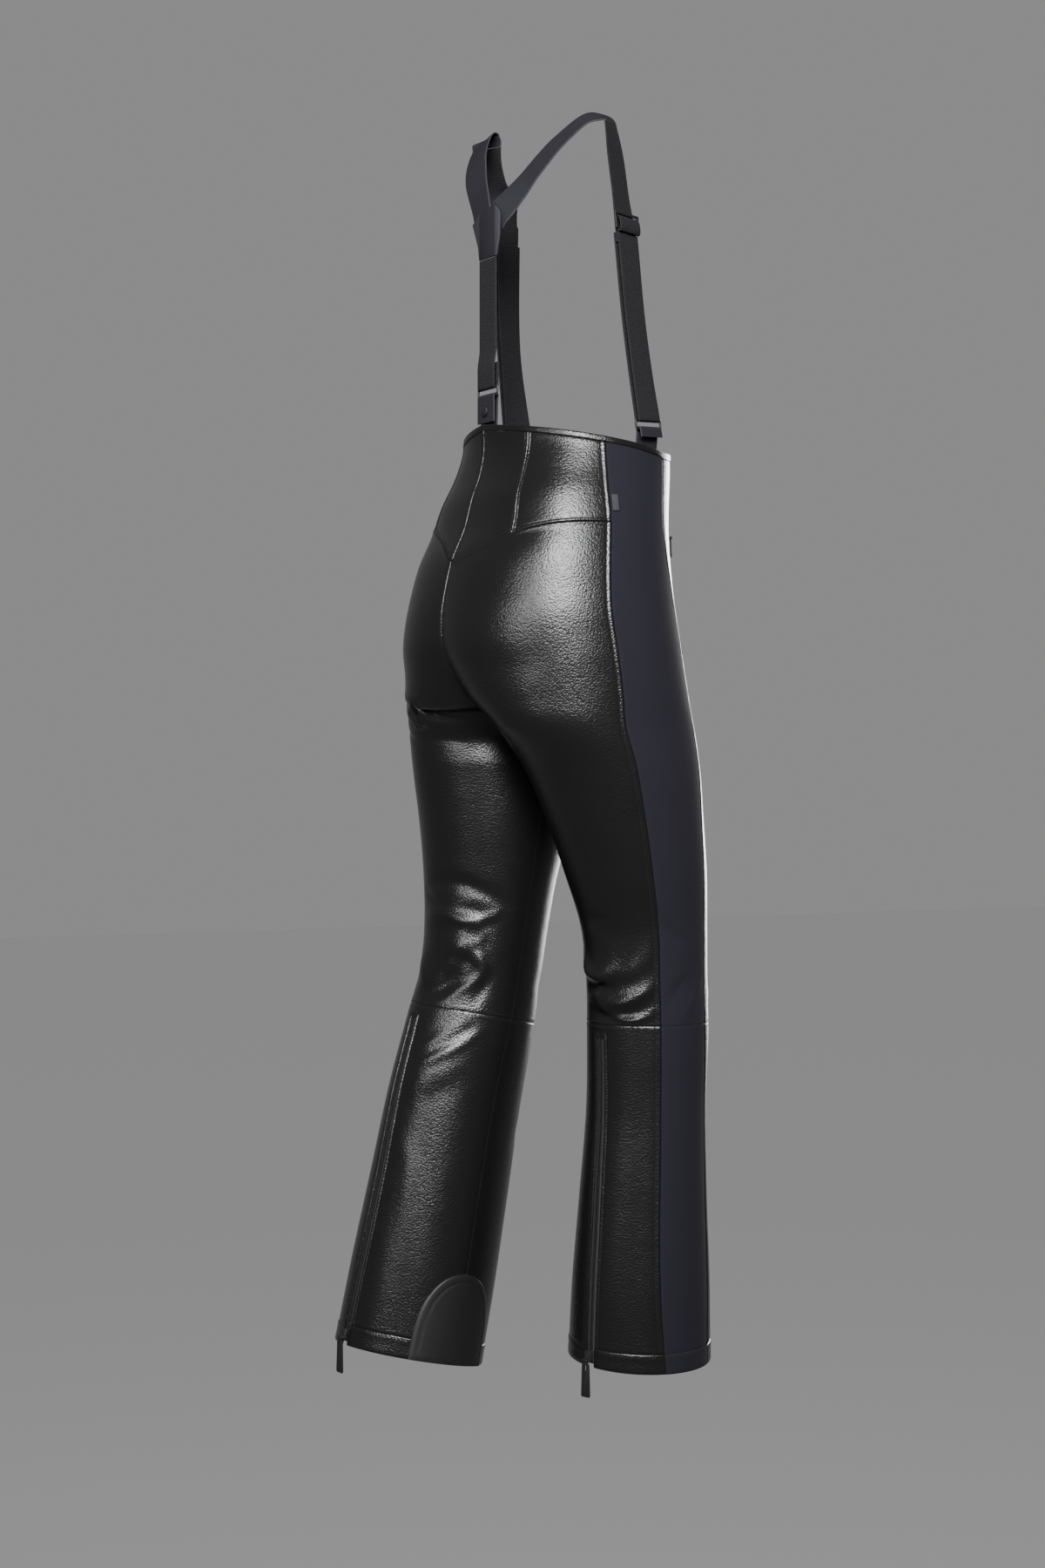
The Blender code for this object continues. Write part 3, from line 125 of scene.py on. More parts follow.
# %% A smooth curve through a table
def along(rows, at):
    """Every column of a table at values of its first column, on a smooth curve."""
    table = np.array(rows, dtype=float)
    if table[0, 0] > table[-1, 0]:
        table = table[::-1]
    keys, values = table[:, 0], table[:, 1:]
    at = np.asarray(at, dtype=float)
    steps = np.diff(values, axis=0) / np.diff(keys)[:, None]
    slopes = np.vstack([steps[:1], 0.5 * (steps[1:] + steps[:-1]), steps[-1:]])
    k = np.clip(np.searchsorted(keys, at) - 1, 0, len(keys) - 2)
    span = (keys[k + 1] - keys[k])[..., None]
    t = (at - keys[k])[..., None] / span
    inside = np.clip(t, 0.0, 1.0)
    t2, t3 = inside**2, inside**3
    smooth = ((2 * t3 - 3 * t2 + 1) * values[k] + (t3 - 2 * t2 + inside) * slopes[k] * span
              + (3 * t2 - 2 * t3) * values[k + 1] + (t3 - t2) * slopes[k + 1] * span)
    beyond = np.where(t < 0.0, slopes[k] * t, slopes[k + 1] * (t - inside)) * span
    return smooth + np.where((t < 0.0) | (t > 1.0), beyond, 0.0)


# %% Points of the worn form
def form(side, height, angle):
    """Points of the plain worn form; 0 is the outer side, 90 degrees the back."""
    height, angle = np.broadcast_arrays(np.asarray(height, float), np.asarray(angle, float))
    (outer, in_front, in_back, middle, front, back,
     square, stride, lean_back, lean_side) = np.moveaxis(along(RINGS[side], height), -1, 0)
    c, s = np.cos(angle), np.sin(angle)
    behind = s > 0.0
    inner = np.where(behind, in_back, in_front)
    depth = np.where(behind, back, front)
    centre, half = 0.5 * (outer + inner), 0.5 * (outer - inner)
    x = centre + half * c
    y = middle + depth * s * (1.0 + np.where(behind, square, 0.0) * c * c)
    y = y + side * stride * x / outer
    z = height + lean_back * depth * s + lean_side * half * c
    return np.stack([side * x, y, z], axis=-1)


# %% Directions out of the form
SMALL_ANGLE, SMALL_HEIGHT = 0.002, 0.0004


def outward(side, height, angle):
    """Outward directions of the form, and how far a radian and a metre of height move."""
    round_it = form(side, height, angle + SMALL_ANGLE) - form(side, height, angle - SMALL_ANGLE)
    up_it = form(side, height + SMALL_HEIGHT, angle) - form(side, height - SMALL_HEIGHT, angle)
    normal = np.cross(round_it, up_it) * side
    normal /= np.linalg.norm(normal, axis=-1, keepdims=True)
    return (normal, np.linalg.norm(round_it, axis=-1) / (2 * SMALL_ANGLE),
            np.linalg.norm(up_it, axis=-1) / (2 * SMALL_HEIGHT))


print("waist is", round(float(2 * RINGS[LEFT][1][1]), 3), "m wide")

# %% [markdown]
# ## The seams
# A pattern cutter shapes flat cloth to a body with seams. These follow the garment: down
# its sides and inner legs as an angle for each height, round its yoke and top as a height
# for each angle.

# %% Where the seams run
# height, then angle in degrees
BACK_SIDE_SEAM = [(0.04, 14), (-0.05, 9), (-0.15, 11), (-0.25, 12), (-0.35, 16),
                  (-0.45, 18), (-0.61, 20), (-0.76, 17), (-0.90, 15), (-1.00, 9)]
SIDE_FRONT_SEAM = [(0.04, -29), (-0.06, -30), (-0.14, -39), (-0.24, -50), (-0.31, -49),
                   (-0.43, -40), (-0.61, -36), (-0.70, -41), (-0.86, -42), (-1.00, -37)]
INSEAM = [(CROTCH, 180), (-0.32, 183), (-0.38, 186), (-0.45, 188), (-1.00, 188)]
ZIP_LINE = {
    RIGHT: [(-0.60, 84), (-0.70, 81), (-0.86, 76), (-1.00, 75)],
    LEFT: [(-0.60, 89), (-0.70, 93), (-0.86, 96), (-1.00, 94)],
}
POCKET_LINE = [(-0.05, -64), (-0.12, -59), (-0.21, -52)]
# angle in degrees, then height
TOP_EDGE = [(-90, 0.036), (-50, 0.033), (-30, 0.031), (-14, 0.034), (0, 0.038),
            (16, 0.043), (54, 0.055), (90, 0.065)]
YOKE_SEAM = {
    RIGHT: [(-90, -0.054), (10, -0.054), (24, -0.054), (39, -0.057), (55, -0.064),
            (68, -0.071), (90, -0.087), (96, -0.090)],
    LEFT: [(-90, -0.052), (10, -0.047), (30, -0.043), (51, -0.045), (69, -0.058),
           (80, -0.068), (90, -0.082), (96, -0.090)],
}
PRINCESS_SHARE = 0.56      # of the way from the side seam to the centre
print("yoke seam at the centre back:", YOKE_SEAM[RIGHT][-2][1], "m")

# %% Heights and angles of the seams
def seam_angle(rows, height):
    """Angle in radians of a seam that runs down the garment."""
    return np.radians(along(rows, height)[..., 0])


def level(rows, angle):
    """Height of a seam that runs round the garment, the same past the centre seams."""
    return along(rows, np.clip(np.degrees(angle), rows[0][0], rows[-1][0]))[..., 0]


def level_height(name, side, angle):
    """Height of a named level at each angle."""
    if name == "hem":
        return np.full_like(angle, HEM_EDGE[side])
    if name == "hem_seam":
        return np.full_like(angle, HEM_SEAM[side])
    if name == "knee":
        return np.full_like(angle, KNEE_SEAM)
    if name == "yoke":
        return level(YOKE_SEAM[side], angle)
    top = level(TOP_EDGE, angle)
    return top if name == "top" else top - BINDING_HEIGHT


def centre_angle(side, height, from_middle, front=False):
    """Angle where a ring comes within a distance of the middle plane, or of the inseam."""
    ring = along(RINGS[side], height)
    outer, inner = ring[..., 0], ring[..., 1 if front else 2]
    centre, half = 0.5 * (outer + inner), 0.5 * (outer - inner)
    share = np.clip((from_middle - centre) / half, -1.0, 1.0)
    cut = (inner < from_middle) & (height > CROTCH)
    found, inseam = np.arccos(share), seam_angle(INSEAM, height)
    if front:
        return np.where(cut, -found, inseam - TURN)
    return np.where(cut, found, inseam)


# %% Each seam by its name
# Each takes a side and gives a function of height, also where both sides are alike.
def back_side(side):
    """The seam between the stretch panel and the back."""
    return lambda height: seam_angle(BACK_SIDE_SEAM, height)


def side_front(side):
    """The seam between the stretch panel and the front."""
    return lambda height: seam_angle(SIDE_FRONT_SEAM, height)


def centre_back(side):
    """The centre seam of the seat, which goes on as the inseam."""
    return lambda height: centre_angle(side, height, 0.5 * SEAM_GAP)


def centre_front(side):
    """The centre front, open for the zip above the crotch, which goes on as the inseam."""
    def angle(height):
        half = np.where(height > FLY_BOTTOM, FLY_SLOT_HALF, 0.5 * SEAM_GAP)
        return centre_angle(side, height, half, front=True)
    return angle


def princess(side):
    """The seam down the yoke, between the side seam and the centre."""
    def angle(height):
        start, end = back_side(side)(height), centre_back(side)(height)
        return start + (end - start) * PRINCESS_SHARE
    return angle


def zip_edge(side, half):
    """A line beside the calf zip, at a distance from its middle."""
    def angle(height):
        middle = seam_angle(ZIP_LINE[side], height)
        return middle + half / outward(side, height, middle)[1]
    return angle


def inner_leg(side, before_front=False):
    """The inseam, or the same seam as the front panel counts it."""
    return lambda height: seam_angle(INSEAM, height) - (TURN if before_front else 0.0)


print("back panel from", round(math.degrees(float(back_side(LEFT)(KNEE_SEAM)))), "to",
      round(math.degrees(float(inner_leg(LEFT)(KNEE_SEAM)))), "degrees at the knee")

# %% [markdown]
# ## Creases
# Bent and standing legs push the cloth into creases behind the knees and under the seat.
# Each is one row: it runs from one point to another, bows on its way, and rises or sinks
# along a soft line. The first group are the large ones that the frame has too. The rest
# are finer: some stand beside the large ones, and some are on the sides that face away.

# %% The large creases
# side, angle_a, height_a, angle_b, height_b, bow, width, rise
LARGE_CREASES = [
    (LEFT, 62, -0.246, 142, -0.258, 0.008, 0.006, -0.0048),
    (LEFT, 62, -0.238, 142, -0.250, 0.008, 0.006, 0.0028),
    (LEFT, 84, -0.268, 152, -0.270, 0.004, 0.010, 0.0024),
    (LEFT, 80, -0.460, 165, -0.478, -0.014, 0.009, -0.0034),
    (LEFT, 84, -0.500, 140, -0.505, -0.010, 0.010, 0.0036),
    (LEFT, 150, -0.505, 95, -0.590, 0.028, 0.010, -0.0040),
    (LEFT, 72, -0.545, 100, -0.578, 0.006, 0.012, 0.0040),
    (LEFT, 105, -0.660, 150, -0.618, 0.004, 0.008, 0.0024),
    (RIGHT, 92, -0.500, 62, -0.505, -0.008, 0.009, -0.0030),
    (RIGHT, 118, -0.535, 62, -0.553, 0.010, 0.011, 0.0055),
    (RIGHT, 112, -0.560, 50, -0.556, 0.006, 0.008, -0.0045),
    (RIGHT, 90, -0.578, 30, -0.560, 0.014, 0.009, 0.0045),
    (RIGHT, 96, -0.594, 40, -0.588, 0.004, 0.007, -0.0030),
    (RIGHT, 20, -0.478, -8, -0.518, 0.004, 0.010, -0.0026),
    (RIGHT, -30, -0.535, 14, -0.590, -0.006, 0.009, -0.0026),
    (LEFT, -40, -0.545, 10, -0.590, -0.006, 0.010, -0.0028),
    (LEFT, -120, -0.300, -60, -0.345, 0.010, 0.012, -0.0030),
    (RIGHT, -130, -0.290, -60, -0.262, 0.010, 0.012, -0.0036),
    (RIGHT, -140, -0.315, -75, -0.318, 0.008, 0.012, -0.0028),
    (LEFT, -75, -0.580, -130, -0.560, 0.006, 0.012, -0.0026),
]
print("large creases:", len(LARGE_CREASES))

# %% The finer creases
# side, width, rise, then the points it passes: angle and height
FINE_CREASES = [
    (LEFT, 0.0030, -0.0022, [(60, -0.244), (85, -0.254), (107, -0.2615), (120, -0.2635),
                             (132, -0.2625), (142, -0.258)]),
    (LEFT, 0.0030, 0.0016, [(60, -0.2405), (91, -0.254), (107, -0.2575), (120, -0.2595),
                            (132, -0.2585), (142, -0.254)]),
    (LEFT, 0.0030, -0.0013, [(104, -0.290), (115, -0.289), (124, -0.2905), (131, -0.2925)]),
    (LEFT, 0.0032, -0.0015, [(58, -0.258), (66, -0.264), (78, -0.271)]),
    (LEFT, 0.0032, -0.0016, [(58, -0.272), (66, -0.279), (80, -0.288), (94, -0.292)]),
    (LEFT, 0.0056, -0.0015, [(70, -0.458), (90, -0.476), (116, -0.488), (150, -0.484)]),
    (LEFT, 0.0044, 0.0018, [(104, -0.494), (124, -0.501), (145, -0.499), (163, -0.487)]),
    (LEFT, 0.0063, 0.0015, [(140, -0.502), (149, -0.512), (145, -0.524), (134, -0.532)]),
    (LEFT, 0.0056, 0.0018, [(132, -0.534), (147, -0.546), (153, -0.556), (149, -0.568),
                            (139, -0.580), (116, -0.600)]),
    (LEFT, 0.0075, -0.0018, [(100, -0.548), (125, -0.545), (142, -0.553), (140, -0.568),
                             (118, -0.586)]),
    (LEFT, 0.0070, -0.0016, [(160, -0.560), (155, -0.580), (150, -0.600)]),
    (LEFT, 0.0270, 0.0068, [(110, -0.548), (126, -0.542), (140, -0.538), (154, -0.534)]),
    (LEFT, 0.0240, 0.0030, [(104, -0.700), (120, -0.692), (136, -0.676), (150, -0.655)]),
    (LEFT, 0.0060, 0.0022, [(106, -0.676), (122, -0.668), (143, -0.650), (163, -0.625)]),
    (LEFT, 0.0100, -0.0014, [(120, -0.650), (140, -0.634), (158, -0.618)]),
    (LEFT, 0.0140, -0.0012, [(120, -0.712), (144, -0.694), (161, -0.668)]),
    (LEFT, 0.0120, 0.0012, [(104, -0.752), (125, -0.780), (131, -0.824), (137, -0.880)]),
    (RIGHT, 0.0190, 0.0008, [(20, -0.204), (36, -0.213), (50, -0.220), (64, -0.226)]),
    (RIGHT, 0.0240, 0.0036, [(100, -0.556), (84, -0.552), (70, -0.548), (56, -0.546)]),
    (RIGHT, 0.0040, 0.0018, [(108, -0.510), (90, -0.500), (74, -0.496), (64, -0.499)]),
    (RIGHT, 0.0045, 0.0026, [(106, -0.524), (100, -0.542), (88, -0.551), (76, -0.557)]),
    (RIGHT, 0.0050, -0.0024, [(108, -0.560), (90, -0.562), (74, -0.566), (62, -0.572)]),
    (RIGHT, 0.0080, 0.0018, [(58, -0.562), (44, -0.548), (34, -0.532), (28, -0.514)]),
    (RIGHT, 0.0035, 0.0018, [(109, -0.580), (92, -0.577), (74, -0.573), (62, -0.570)]),
    (RIGHT, 0.0040, 0.0026, [(84, -0.580), (80, -0.588), (66, -0.596), (50, -0.601),
                             (36, -0.597), (24, -0.588)]),
    (RIGHT, 0.0045, 0.0018, [(68, -0.585), (50, -0.582), (36, -0.572), (26, -0.562)]),
    (RIGHT, 0.0060, 0.0016, [(16, -0.470), (8, -0.492), (-8, -0.508)]),
    (RIGHT, 0.0050, 0.0014, [(-31, -0.530), (-10, -0.558), (8, -0.584)]),
    (RIGHT, 0.0050, 0.0014, [(-34, -0.546), (-18, -0.574), (-3, -0.598)]),
    (RIGHT, 0.0060, 0.0012, [(-30, -0.530), (-12, -0.548), (6, -0.556)]),
    (LEFT, 0.0060, 0.0014, [(-34, -0.534), (-14, -0.560), (6, -0.586)]),
    (LEFT, 0.0060, 0.0012, [(14, -0.474), (2, -0.496), (-14, -0.512)]),
    (LEFT, 0.0080, 0.0016, [(-56, -0.566), (-90, -0.574), (-124, -0.562)]),
    (RIGHT, 0.0080, 0.0014, [(-52, -0.572), (-84, -0.580), (-120, -0.570)]),
    (RIGHT, 0.0070, 0.0016, [(-70, -0.276), (-100, -0.292), (-140, -0.304)]),
    (LEFT, 0.0070, 0.0016, [(-64, -0.292), (-96, -0.304), (-136, -0.312)]),
    (LEFT, 0.0110, -0.0014, [(-60, -0.640), (-90, -0.700), (-130, -0.740)]),
    (RIGHT, 0.0110, -0.0012, [(-64, -0.650), (-96, -0.700), (-134, -0.730)]),
]
print("finer creases:", len(FINE_CREASES))

# %% Each crease as points
CREASE_STEPS = 8


def crease_paths():
    """Each crease as points on the form, with its side, width and rise."""
    share = np.linspace(0.0, 1.0, CREASE_STEPS + 1)
    paths = []
    for side, angle_a, height_a, angle_b, height_b, bow, width, rise in LARGE_CREASES:
        angles = np.radians(angle_a + (angle_b - angle_a) * share)
        heights = height_a + (height_b - height_a) * share - bow * np.sin(math.pi * share)
        paths.append((side, form(side, heights, angles), width, rise))
    for side, width, rise, passes in FINE_CREASES:
        rows = [(float(k), *point) for k, point in enumerate(passes)]
        places = along(rows, share * (len(passes) - 1))
        paths.append((side, form(side, places[:, 1], np.radians(places[:, 0])), width, rise))
    return paths


CREASES = crease_paths()
print("deepest crease:", round(1000 * min(rise for *_, rise in CREASES), 1), "mm")

# %% The lift of the creases
CREASE_REACH = 0.13        # from its middle, past which a crease lifts nothing
CREASE_END = 0.08          # the share of its fading curve that is left out at each end


def crease_rise(side, place):
    """How far the creases lift the cloth at points of the plain form."""
    flat = place.reshape(-1, 3)
    rise = np.zeros(len(flat))
    for crease_side, points, width, height in CREASES:
        if crease_side != side:
            continue
        near = np.linalg.norm(flat - points[CREASE_STEPS // 2], axis=1) < CREASE_REACH
        spot = flat[near]
        nearest = np.full(len(spot), 1.0)
        share = np.zeros(len(spot))
        for i in range(CREASE_STEPS):
            a, run = points[i], points[i + 1] - points[i]
            t = np.clip((spot - a) @ run / (run @ run), 0.0, 1.0)
            distance = np.linalg.norm(a + t[:, None] * run - spot, axis=1)
            closer = distance < nearest
            nearest = np.where(closer, distance, nearest)
            share = np.where(closer, (i + t) / CREASE_STEPS, share)
        fade = np.sin(math.pi * (CREASE_END + (1.0 - 2.0 * CREASE_END) * share))
        rise[near] += height * fade * np.exp(-((nearest / width) ** 2))
    return rise.reshape(place.shape[:-1])


def face(side, height, angle, out=0.0):
    """Points of the cloth's outer face, creases and all, moved out by a distance."""
    place = form(side, height, angle)
    normal = outward(side, height, angle)[0]
    return place + normal * (np.asarray(out) + crease_rise(side, place))[..., None]


# %% [markdown]
# ## Materials
# The black cloth has a smooth coated face with a fine pebbled grain, so light slides over
# it in broad soft patches. The stretch panels and the webbing are matte and a little blue.

# %% Material helpers
def material(name, colour, roughness, specular):
    """A new material and its shader."""
    made = bpy.data.materials.new(name)
    made.use_nodes = True
    shader = made.node_tree.nodes["Principled BSDF"]
    shader.inputs["Base Color"].default_value = (*colour, 1.0)
    shader.inputs["Roughness"].default_value = roughness
    shader.inputs["Specular IOR Level"].default_value = specular
    return made, shader


def node_group(name, outputs):
    """A shader group that gives the named values, and its output node."""
    tree = bpy.data.node_groups.new(name, "ShaderNodeTree")
    for output in outputs:
        tree.interface.new_socket(name=output, in_out="OUTPUT", socket_type="NodeSocketFloat")
    return tree, tree.nodes.new("NodeGroupOutput")


def maths(tree, operation, first, second=None, clamp=False):
    """The result of a maths node; first and second are numbers or sockets."""
    node = tree.nodes.new("ShaderNodeMath")
    node.operation = operation
    node.use_clamp = clamp
    for k, value in enumerate((first, second)):
        if isinstance(value, (int, float)):
            node.inputs[k].default_value = value
        elif value is not None:
            tree.links.new(value, node.inputs[k])
    return node.outputs[0]


def noise(tree, coordinates, scale, detail=2.0, roughness=0.5):
    """Soft noise at a scale in features for each metre."""
    node = tree.nodes.new("ShaderNodeTexNoise")
    node.inputs["Scale"].default_value = scale
    node.inputs["Detail"].default_value = detail
    node.inputs["Roughness"].default_value = roughness
    tree.links.new(coordinates, node.inputs["Vector"])
    return node.outputs["Fac"]


def relief(made, shader, height, distance):
    """Puts a height, in parts of the distance, on a shader as a bump."""
    bump = made.node_tree.nodes.new("ShaderNodeBump")
    bump.inputs["Distance"].default_value = distance
    bump.inputs["Strength"].default_value = 1.0
    made.node_tree.links.new(height, bump.inputs["Height"])
    made.node_tree.links.new(bump.outputs["Normal"], shader.inputs["Normal"])


def use_group(made, tree):
    """The outputs of a shared group inside a material."""
    node = made.node_tree.nodes.new("ShaderNodeGroup")
    node.node_tree = tree
    return node.outputs


# %% The coated face
PEBBLES = 460.0            # pebbles of the grain for each metre
PEBBLE_SHARE = -0.8
# what else the coat's height is made of: features for each metre, detail, share
COAT_LAYERS = [(900.0, 2.0, 0.6), (70.0, 2.0, 0.25), (22.0, 1.0, 0.7)]
COAT_DEPTH = 0.00030
SMOOTHEST, WORN_PATCHES = 0.20, 0.08


def coated_face():
    """Pebbled grain, the slow waver of the coat, and where it is a little worn smooth."""
    tree, result = node_group("coated face", ["Height", "Roughness"])
    place = tree.nodes.new("ShaderNodeTexCoord").outputs["Object"]
    cells = tree.nodes.new("ShaderNodeTexVoronoi")
    cells.inputs["Scale"].default_value = PEBBLES
    tree.links.new(place, cells.inputs["Vector"])
    height = maths(tree, "MULTIPLY", cells.outputs["Distance"], PEBBLE_SHARE)
    for scale, detail, share in COAT_LAYERS:
        layer = maths(tree, "MULTIPLY", noise(tree, place, scale, detail), share)
        height = maths(tree, "ADD", height, layer)
    tree.links.new(height, result.inputs["Height"])
    patches = maths(tree, "MULTIPLY", noise(tree, place, 30.0, 3.0), WORN_PATCHES)
    tree.links.new(maths(tree, "ADD", patches, SMOOTHEST), result.inputs["Roughness"])
    return tree


leather, shader = material("black_coated_cloth", (0.0024, 0.0023, 0.0023), SMOOTHEST, 0.18)
given = use_group(leather, coated_face())
leather.node_tree.links.new(given["Roughness"], shader.inputs["Roughness"])
relief(leather, shader, given["Height"], COAT_DEPTH)
print("grain of the coat:", round(1000.0 / PEBBLES, 1), "mm a pebble")

# %% Woven and knitted faces
WEAVE_PITCH, RIB_PITCH = 0.0011, 0.0021
SELVEDGE = 0.0176          # from a strap's middle to where its paler edge starts
SELVEDGE_SLOPE = 1200.0


def woven_face():
    """Crossing threads and ribs from a piece's own lengths, a strap's edge, and a mottle."""
    tree, result = node_group("woven face", ["Height", "Ribs", "Edge", "Mottle"])
    lengths = tree.nodes.new("ShaderNodeUVMap")
    lengths.uv_map = "lengths"
    parts = tree.nodes.new("ShaderNodeSeparateXYZ")
    tree.links.new(lengths.outputs["UV"], parts.inputs["Vector"])
    across, down = parts.outputs["X"], parts.outputs["Y"]
    warp, weft, ribs = (
        maths(tree, "SINE", maths(tree, "MULTIPLY", value, TURN / pitch))
        for value, pitch in ((across, WEAVE_PITCH), (down, WEAVE_PITCH), (down, RIB_PITCH)))
    past = maths(tree, "SUBTRACT", maths(tree, "ABSOLUTE", across), SELVEDGE)
    place = tree.nodes.new("ShaderNodeTexCoord").outputs["Object"]
    for name, value in {"Height": maths(tree, "MULTIPLY", warp, weft), "Ribs": ribs,
                        "Edge": maths(tree, "MULTIPLY", past, SELVEDGE_SLOPE, True),
                        "Mottle": noise(tree, place, 420.0, 3.0, 0.6)}.items():
        tree.links.new(value, result.inputs[name])
    return tree


WOVEN = woven_face()


def woven_material(name, roughness, specular, tint_by, dark, pale, relief_by, depth):
    """A material that goes from dark to pale by one of the group's values."""
    made, shader = material(name, dark, roughness, specular)
    given = use_group(made, WOVEN)
    tint = made.node_tree.nodes.new("ShaderNodeMix")
    tint.data_type = "RGBA"
    factor, first, second = (tint.inputs[k] for k in (0, 6, 7))
    first.default_value, second.default_value = (*dark, 1.0), (*pale, 1.0)
    made.node_tree.links.new(given[tint_by], factor)
    made.node_tree.links.new(tint.outputs[2], shader.inputs["Base Color"])
    relief(made, shader, given[relief_by], depth)
    return made, shader


# %% Stretch cloth, webbing, elastic and tape
stretch, shader = woven_material(
    "navy_stretch_knit", 0.90, 0.03, "Mottle", (0.0041, 0.0038, 0.0057),
    (0.0061, 0.0057, 0.0082), "Height", 0.00005)
shader.inputs["Sheen Weight"].default_value = 0.02
shader.inputs["Sheen Roughness"].default_value = 0.4
webbing, shader = woven_material(
    "navy_webbing", 0.80, 0.05, "Edge", (0.0068, 0.0065, 0.0084),
    (0.0142, 0.0138, 0.0168), "Height", 0.00005)
elastic, shader = woven_material(
    "ribbed_elastic", 0.85, 0.05, "Mottle", (0.0030, 0.0030, 0.0034),
    (0.0105, 0.0103, 0.0115), "Ribs", 0.00013)
tape, shader = material("zip_tape_weave", (0.006, 0.006, 0.0065), 0.70, 0.3)
relief(tape, shader, use_group(tape, WOVEN)["Height"], 0.00008)
print("ribs of the elastic:", round(1000.0 * RIB_PITCH, 1), "mm apart")

# %% Hard and moulded faces
def moulded_face():
    """The very fine grain of lacquer and of moulded rubber."""
    tree, result = node_group("moulded face", ["Height"])
    place = tree.nodes.new("ShaderNodeTexCoord").outputs["Object"]
    tree.links.new(noise(tree, place, 1500.0), result.inputs["Height"])
    return tree


MOULDED = moulded_face()
hardware, shader = material("black_lacquered_metal", (0.004, 0.004, 0.004), 0.50, 0.14)
relief(hardware, shader, use_group(hardware, MOULDED)["Height"], 0.00003)
rubber, shader = material("moulded_black_guard", (0.0036, 0.0035, 0.0035), 0.48, 0.13)
relief(rubber, shader, use_group(rubber, MOULDED)["Height"], 0.00006)
thread, shader = material("black_thread", (0.005, 0.005, 0.006), 0.70, 0.10)
MATERIALS = {"leather": leather, "stretch": stretch, "webbing": webbing, "elastic": elastic,
             "hardware": hardware, "tape": tape, "rubber": rubber, "thread": thread}
print("materials:", ", ".join(made.name for made in MATERIALS.values()))

# %% [markdown]
# ## Cutting and sewing the cloth
# Each cut piece is a grid between its seams. The rows and columns crowd together beside a
# seam, because there the cloth turns in, rolls over and is pulled down by the thread. Seam
# profiles are short tables: distance from the seam, then how far the cloth rises.

# %% How a seam lifts the cloth
# Distance from the seam and rise of the cloth, in millimetres. A roll stands over the edge
# of the stretch panel, which goes under it. Twin has a row of thread on each side. Above and
# below are the two edges of the yoke seam, zip is the raised edge of the calf's opening, and
# turned and hem_top are the two edges of the foot's hem.
PROFILES = {
    "roll": [(0, -0.6), (0.9, 0.3), (2.2, 0.6), (3.6, 0.45), (4.6, -0.05), (5.6, -0.45),
             (7.4, -0.1), (9.5, 0.0)],
    "under": [(0, -0.6), (1.2, -0.3), (3.0, 0.0)],
    "twin": [(0, -0.6), (0.8, 0.3), (1.8, 0.5), (2.7, -0.35), (3.5, -0.5), (5.4, 0.0)],
    "plain": [(0, -0.4), (1.2, -0.05), (3.0, 0.05), (6.6, 0.0)],
    "above": [(0, -0.6), (0.8, 0.1), (2.2, 0.2), (3.3, -0.60), (5.4, -0.10), (8.0, 0.0)],
    "below": [(0, -0.6), (0.8, 0.5), (2.4, 0.8), (4.3, 0.35), (6.6, 0.0)],
    "bound": [(0, -0.2), (0.8, 0.4), (2.4, 0.55), (3.4, 0.5)],
    "zip": [(0, -0.3), (0.8, 0.8), (2.4, 1.0), (3.6, 0.7), (4.4, -0.55), (6.6, 0.0)],
    "turned": [(0, -0.7), (0.7, 0.0), (2.4, 0.4), (5.4, 0.45), (10.5, 0.3)],
    "hem_top": [(0, -0.8), (0.8, 0.2), (2.4, 0.3), (4.3, 0.5), (8.2, 0.35)],
    "none": [(0, 0.0), (1.0, 0.0)],
}


def profile(kind, distance):
    """Rise of the cloth at distances from a seam of that kind."""
    table = 0.001 * np.array(PROFILES[kind], dtype=float)
    return np.interp(distance, table[:, 0], table[:, 1])


print("kinds of seam:", ", ".join(PROFILES))

# %% Rows and columns that crowd at the seams
EDGE = 0.001 * np.array([0.0, 0.7, 1.5, 2.4, 3.3, 4.3, 5.4, 6.6, 8.2, 10.5])
NARROW = 0.001 * np.array([0.0, 0.5, 1.0, 1.7, 2.5, 3.2])
STEP = 0.0040              # between rows away from the seams


def places_between(length, edge=EDGE):
    """Rows or columns: the share from one seam to the other, and the set distances."""
    reach, none = edge[-1], np.zeros(len(edge))
    count = max(2, round((length - 2 * reach) / STEP))
    shares = np.concatenate([none, np.arange(1, count) / count, none + 1.0])
    from_low = np.concatenate([edge, np.full(count - 1, reach), none])
    from_high = np.concatenate([none, np.full(count - 1, reach), edge[::-1]])
    return shares, from_low, from_high


def measure(side, low, high, seams, angle):
    """Rough length and widths of a piece, in metres, for the count of its rows."""
    bottom = float(level_height(low, side, np.array(angle)))
    length = float(level_height(high, side, np.array(angle))) - bottom
    heights = bottom + length * np.linspace(0.1, 0.9, 7)
    widths = []
    for a, b in zip(seams, seams[1:]):
        angles = np.linspace(a(heights), b(heights), 9)
        points = form(side, np.broadcast_to(heights, angles.shape), angles)
        widths.append(float(np.linalg.norm(np.diff(points, axis=0), axis=-1).sum(0).mean()))
    return length, widths


# %% The grid of a cut piece
FITTING_ROUNDS = 9         # rows and columns shift a little each time, until they settle


